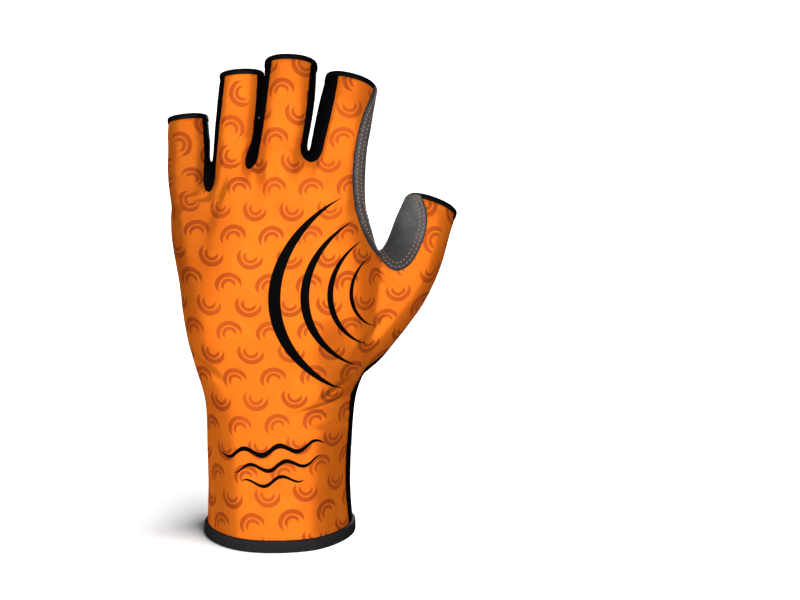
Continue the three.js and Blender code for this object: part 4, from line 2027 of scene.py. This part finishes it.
@dataclass(frozen=True)
class Stitches:
    """Rows of short stitches, each a thread capsule that dips at its ends."""

    name: str
    slot: str
    pitch: float = 1.95
    length: float = 1.35
    width: float = 0.36
    height: float = 0.86
    sides: int = 6
    rings: int = 5
    narrowing: float = 0.92
    least: float = 0.12
    dip: float = 0.28
    sway: float = 0.05
    seed: int = 7

    def capsule(self) -> Surface:
        """One stitch along +X with its middle at the origin."""
        places = np.linspace(-1, 1, self.rings)
        rings = []
        for place in places:
            radius = self.width / 2 * math.sqrt(max(self.least, 1 - place**2 * self.narrowing))
            edge = oval(self.sides, 2.0) * radius
            along = np.full(self.sides, place * self.length / 2)
            rings.append(np.stack([along, edge[:, 0], edge[:, 1] - self.dip * place**2], axis=1))
        return Surface.loft(rings)

    def make(self, trails: list[Trail], thread: Material) -> Object:
        """Sews stitches along trails.

        Args:
            trails: Lines on the skin.
            thread: The thread's finish.

        Returns:
            All the stitches as one piece.
        """
        one = self.capsule()
        parts = []
        rng = np.random.default_rng(self.seed)
        for trail in trails:
            even = trail.evened(self.pitch)
            tangent = even.tangents()
            up = unit(even.normals - (even.normals * tangent).sum(1, keepdims=True) * tangent)
            side = np.cross(up, tangent)
            for centre, along, across, out in zip(even.points, tangent, side, up):
                sway = rng.normal(0, self.sway, 2)
                at = centre + out * self.height + across * sway[0]
                way = unit(along + across * sway[1])
                turned = one.points[:, :1] * way + one.points[:, 1:2] * across + one.points[:, 2:] * out
                parts.append(Surface(turned + at, one.faces))
        made = MeshMaker.plain(self.name, Surface.joined(parts))
        made.data.materials.append(thread)
        return MeshMaker.worn(made, self.slot)


@dataclass(frozen=True)
class Binding:
    """Cloth folded over a raw edge: a swept band with rounded corners.

    below and above are how far it reaches from the cut edge, proud and inside how far
    it stands out of the skin and behind it.
    """

    name: str
    node: str
    slot: str
    below: float
    above: float
    proud: float
    inside: float
    step: float = 0.9
    corner: float = 0.55
    flatter: float = 0.7
    waver: float = 0.05
    waver_size: float = 4.0

    def profile(self) -> np.ndarray:
        """Outline of the band: outward and upward from the cloth's cut edge."""
        low, high = -self.below + self.corner, self.above - self.corner
        left, right = -self.inside + self.corner, self.proud - self.corner * self.flatter
        corners = ((right, high, 0), (left, high, 90), (left, low, 180), (right, low, 270))
        points = []
        for centre_out, centre_up, start in corners:
            radius = self.corner * (self.flatter if centre_out == right else 1.0)
            for turn in (0, 30, 60, 90):
                angle = math.radians(start + turn)
                out = centre_out + radius * math.cos(angle)
                points.append((out, centre_up + self.corner * math.sin(angle)))
        return np.array(points)

    def make(self, trail: Trail, way: np.ndarray, finish: Material) -> Object:
        """Sweeps the band round an edge.

        Args:
            trail: The cloth's cut edge.
            way: Direction out of the opening.
            finish: The band's finish.

        Returns:
            The band.
        """
        even = trail.evened(self.step)
        tangent = even.tangents()
        out = unit(even.normals - (even.normals @ way)[:, None] * way)
        out = unit(out - (out * tangent).sum(1, keepdims=True) * tangent)
        rings = []
        profile = self.profile()
        for point, side in zip(even.points, out):
            wave = self.waver * noise.noise(Vector(point / self.waver_size))
            rings.append(point + profile[:, :1] * side * (1 + wave) + profile[:, 1:] * way)
        count = len(profile)
        points = np.concatenate(rings)
        total = len(rings)
        ring = np.arange(total)[:, None] * count
        after = ((np.arange(total) + 1) % total)[:, None] * count
        side = np.arange(count)[None, :]
        onward = (side + 1) % count
        quads = np.stack([ring + side, after + side, after + onward, ring + onward], axis=-1)
        quads = quads.reshape(-1, 4)
        faces = np.concatenate([quads[:, [0, 1, 2]], quads[:, [0, 2, 3]]])
        surface = Surface(points, faces)
        corner = surface.points[surface.faces]
        if np.einsum("ij,ij->i", corner[:, 0], np.cross(corner[:, 1], corner[:, 2])).sum() < 0:
            surface.faces = surface.faces[:, ::-1]
        made = MeshMaker.plain(self.name, surface)
        made.data.materials.append(finish)
        return MeshMaker.worn(made, self.slot, self.node)


class Panel(Enum):
    """The cut pieces of cloth."""

    BACK = "back_panel"
    PALM = "palm_panel"
    SUEDE = "suede_palm_panel"
    PLAIN = "plain_palm_panel"
    INDEX_MIDDLE = "finger_strip_index_middle"
    MIDDLE_RING = "finger_strip_middle_ring"
    RING_LITTLE = "finger_strip_ring_little"


CUTS = {
    Panel.BACK: Cut(0.16, 0.224, 0.0229, ("palm_panel_cloth", "cuff_hem_band")),
    Panel.PALM: Cut(0.125, 0.155, 0.0139, ("back_panel_cloth", "cuff_hem_band")),
    Panel.SUEDE: Cut(0.1, 0.145, 0.006, ("palm_panel_cloth", "back_panel_cloth")),
    Panel.PLAIN: Cut(0.042, 0.07, 0.0017, ("suede_palm_panel_cloth", "back_panel_cloth")),
    Panel.INDEX_MIDDLE: Cut(0.015, 0.095, 0.0012, ("back_panel_cloth", "suede_palm_panel_cloth")),
    Panel.MIDDLE_RING: Cut(0.0135, 0.1, 0.0011, ("back_panel_cloth", "suede_palm_panel_cloth")),
    Panel.RING_LITTLE: Cut(0.014, 0.085, 0.001, ("back_panel_cloth", "plain_palm_panel_cloth")),
}
CROTCH_CUT = Cut(0.04, 0.1, 0.0028, ("back_panel_cloth", "palm_panel_cloth"))
THENAR_CUT = Cut(0.037, 0.049, 0.00135, ("palm_panel_cloth",))


@dataclass
class Glove:
    """The whole glove, built from its form, its pattern and its finishes."""

    finishes: Wardrobe
    form: HandForm = HandForm()
    drape: Drape = Drape()
    tip_inset: float = 0.05
    hem_inset: float = 0.1
    row_inset: float = 1.4
    least_row: float = 20

    def build(self) -> None:
        """Builds every piece of the glove."""
        pattern = Pattern(self.form)
        skin = self.drape.settle(self.form)
        LOG.info("skin: %d faces", len(skin.faces))
        skin = pattern.mark(pattern.trim(skin))
        skin.values["height"] = skin.points[:, 2].copy()
        self.cloth(skin)
        self.patches(skin)
        self.edges(skin, pattern)
        self.seam_rows(skin)

    @staticmethod
    def regions(skin: Surface) -> dict[Panel, np.ndarray]:
        """Shares the skin out to the pieces of cloth.

        Args:
            skin: The marked skin.

        Returns:
            For each piece, which faces it takes.
        """
        free = np.ones(len(skin.faces), bool)
        masks = {}
        for panel, name in (
            (Panel.INDEX_MIDDLE, "strip_index"),
            (Panel.MIDDLE_RING, "strip_middle"),
            (Panel.RING_LITTLE, "strip_ring"),
            (Panel.BACK, "back"),
        ):
            masks[panel] = free & (skin.on_faces(name) > 0)
            free = free & ~masks[panel]
        masks[Panel.PLAIN] = free & (skin.on_faces("plain") > 0)
        free = free & ~masks[Panel.PLAIN]
        masks[Panel.SUEDE] = free & (skin.on_faces("suede") > 0)
        masks[Panel.PALM] = free & ~masks[Panel.SUEDE]
        return masks

    def cloth(self, skin: Surface) -> None:
        """Builds the pieces of cloth."""
        looks = {
            Panel.BACK: (PrintedPiece, "printed_jersey", self.finishes.printed),
            Panel.PALM: (ClothPiece, "black_stretch", self.finishes.marked),
            Panel.SUEDE: (ClothPiece, "grey_suede", self.finishes.suede),
            Panel.PLAIN: (ClothPiece, "plain_jersey", self.finishes.plain),
            Panel.INDEX_MIDDLE: (ClothPiece, "black_stretch", self.finishes.black),
            Panel.MIDDLE_RING: (ClothPiece, "black_stretch", self.finishes.black),
            Panel.RING_LITTLE: (ClothPiece, "black_stretch", self.finishes.black),
        }
        for panel, mask in self.regions(skin).items():
            kind, slot, finish = looks[panel]
            piece = kind(f"{panel.value}_cloth", panel.value, slot, CUTS[panel])
            piece.make(skin.take(mask), finish, self.finishes.inside)

    def patches(self, skin: Surface) -> None:
        """Lays the suede patches on and sews them.

        Args:
            skin: The marked skin.
        """
        crotch = SuedePatch("crotch_patch_suede", "crotch_patch", "crotch", CROTCH_CUT, (1.5, 3.2))
        thenar = SuedePatch("thenar_patch_suede", "thenar_patch", "thenar", THENAR_CUT, (1.5,))
        for patch, finish in ((crotch, self.finishes.crotch_suede), (thenar, self.finishes.suede)):
            suede = patch.make(skin, finish, self.finishes.cut_edge)
            stitches = Stitches(f"{patch.node}_stitches", "grey_suede")
            patch.cut.declare(suede, "laid", stitches.make(patch.rows(skin), self.finishes.thread))

    def edges(self, skin: Surface, pattern: Pattern) -> None:
        """Binds the open tips and hems the cuff.

        Args:
            skin: The marked skin.
            pattern: Where the tips and the hem lie.
        """
        for digit in Digit:
            tip, way = self.form.tip(digit)
            skin.values["rim"] = (skin.points - tip) @ way + pattern.tape_cover + self.tip_inset
            near = np.linalg.norm(skin.points[skin.faces].mean(1) - tip, axis=1) < pattern.tip_reach
            mine = np.rint(skin.on_faces("owner")) == list(Digit).index(digit)
            trail = skin.take(near & mine).trace("rim")[0]
            node = f"tip_tape_{digit.value}"
            binding = Binding(
                f"{node}_band", node, "black_tape", below=1.25, above=1.3, proud=0.42, inside=1.8
            )
            binding.make(trail, way, self.finishes.tape)
        trail = skin.trace("height", pattern.hem_top + self.hem_inset)[0]
        hem = Binding(
            "cuff_hem_band", "cuff_hem", "dark_hem", below=5.0, above=0.75, proud=1.35, inside=1.8, corner=0.9
        )
        hem.make(trail, np.array([0.0, 0.0, 1.0]), self.finishes.hem)

    def seam_rows(self, skin: Surface) -> None:
        """Sews the rows beside the palm's seams.

        Args:
            skin: The marked skin.
        """
        masks = self.regions(skin)
        suede = skin.take(masks[Panel.SUEDE])
        found = suede.trace("suede", self.row_inset) + suede.trace("plain", -self.row_inset)
        rows = [trail for trail in found if trail.length() > self.least_row]
        Stitches("suede_palm_stitches", "grey_suede", height=0.12).make(rows, self.finishes.thread)


@dataclass(frozen=True)
class Lamp:
    """A square soft light, in metres and watts."""

    name: str
    place: Place
    size: float
    power: float


@dataclass(frozen=True)
class Studio:
    """White floor, soft lights and the camera of the photograph.

    aim and distance are in millimetres. The floor is seen in one grey and lights the
    glove in another, and the room is seen brighter than it lights.
    """

    aim: Place = (57.0, 0.0, 114.0)
    distance: float = 750.0
    pitch: float = 12.0
    millimetres_per_pixel: float = 0.47
    picture_width: int = 800
    sensor_width: float = 36.0
    floor_seen: float = 0.98
    floor_lighting: float = 0.068
    floor_half: float = 40.0
    room_seen: float = 1.1
    room_lighting: float = 0.02
    ceiling_from: Place = (0.77, -0.28, 0.574)
    ceiling_spread: float = 90.0
    ceiling_power: float = 9.5
    lamp_aim: Place = (0.0, 0.0, 0.11)
    lamps: tuple[Lamp, ...] = (
        Lamp("key", (-0.06, -1.45, 0.5), 0.26, 32.0),
        Lamp("back", (0.3, 1.4, 0.4), 0.4, 24.0),
    )

    def camera(self) -> None:
        """Places the camera."""
        data = bpy.data.cameras.new("camera")
        data.sensor_width = self.sensor_width
        data.lens = self.distance / self.millimetres_per_pixel * data.sensor_width / self.picture_width
        data.clip_start = 0.01
        data.clip_end = 20.0
        made = bpy.data.objects.new("camera", data)
        bpy.context.scene.collection.objects.link(made)
        pitch = math.radians(self.pitch)
        back = Vector((0.0, -math.cos(pitch), math.sin(pitch)))
        made.location = (Vector(self.aim) + back * self.distance) * METRE
        made.rotation_euler = (math.radians(90) - pitch, 0.0, 0.0)
        bpy.context.scene.camera = made

    def floor(self) -> Object:
        """Lays a wide white floor under the cuff."""
        sheet = Sheet("studio_floor")
        seen = sheet.tree.nodes.new("ShaderNodeLightPath")
        lighting = (self.floor_lighting,) * 3 + (1.0,)
        white = sheet.mix(seen.outputs["Is Camera Ray"], lighting, (self.floor_seen,) * 3 + (1.0,))
        sheet.paint(white)
        finish = sheet.finish(roughness=0.9, sheen=0.0, specular=0.0)
        mesh = bpy.data.meshes.new("floor")
        builder = bmesh.new()
        bmesh.ops.create_grid(builder, x_segments=1, y_segments=1, size=self.floor_half)
        builder.to_mesh(mesh)
        builder.free()
        mesh.materials.append(finish)
        made = bpy.data.objects.new("floor", mesh)
        bpy.context.scene.collection.objects.link(made)
        return made

    def light(self, lamp: Lamp, floor: Object) -> None:
        """Hangs a lamp that faces the glove and leaves the floor out.

        Args:
            lamp: The lamp.
            floor: The floor.
        """
        data = bpy.data.lights.new(lamp.name, "AREA")
        data.size = lamp.size
        data.energy = lamp.power
        made = bpy.data.objects.new(lamp.name, data)
        bpy.context.scene.collection.objects.link(made)
        made.location = lamp.place
        way = Vector(self.lamp_aim) - Vector(lamp.place)
        made.rotation_euler = way.to_track_quat("-Z", "Y").to_euler()
        unlit = bpy.data.collections.new(f"unlit_by_{lamp.name}")
        unlit.objects.link(floor)
        unlit.collection_objects[0].light_linking.link_state = "EXCLUDE"
        made.light_linking.receiver_collection = unlit

    def ceiling(self, floor: Object) -> None:
        """Adds the even light of the ceiling, which falls on the floor only.

        Args:
            floor: The floor.
        """
        data = bpy.data.lights.new("ceiling", "SUN")
        data.angle = math.radians(self.ceiling_spread)
        data.energy = self.ceiling_power
        made = bpy.data.objects.new("ceiling", data)
        bpy.context.scene.collection.objects.link(made)
        lit = bpy.data.collections.new("lit_by_ceiling")
        lit.objects.link(floor)
        made.light_linking.receiver_collection = lit
        made.rotation_euler = (-Vector(self.ceiling_from)).to_track_quat("-Z", "Y").to_euler()

    def world(self) -> None:
        """Fills the room with white light."""
        world = bpy.data.worlds.new("studio")
        world.use_nodes = True
        background = world.node_tree.nodes["Background"]
        background.inputs[0].default_value = (1.0, 1.0, 1.0, 1.0)
        seen = world.node_tree.nodes.new("ShaderNodeLightPath")
        strength = world.node_tree.nodes.new("ShaderNodeMapRange")
        strength.inputs["To Min"].default_value = self.room_lighting
        strength.inputs["To Max"].default_value = self.room_seen
        world.node_tree.links.new(seen.outputs["Is Camera Ray"], strength.inputs["Value"])
        world.node_tree.links.new(strength.outputs[0], background.inputs[1])
        bpy.context.scene.world = world

    def build(self) -> None:
        """Builds the studio."""
        self.camera()
        floor = self.floor()
        self.world()
        self.ceiling(floor)
        for lamp in self.lamps:
            self.light(lamp, floor)
        view = bpy.context.scene.view_settings
        view.view_transform = "Standard"
        view.look = "None"


def main() -> None:
    """Builds the studio and the glove, piece by piece."""
    logging.basicConfig(level=logging.INFO, format="%(name)s %(message)s")
    Studio().build()
    Glove(Wardrobe.make()).build()


if __name__ == "__main__":
    main()
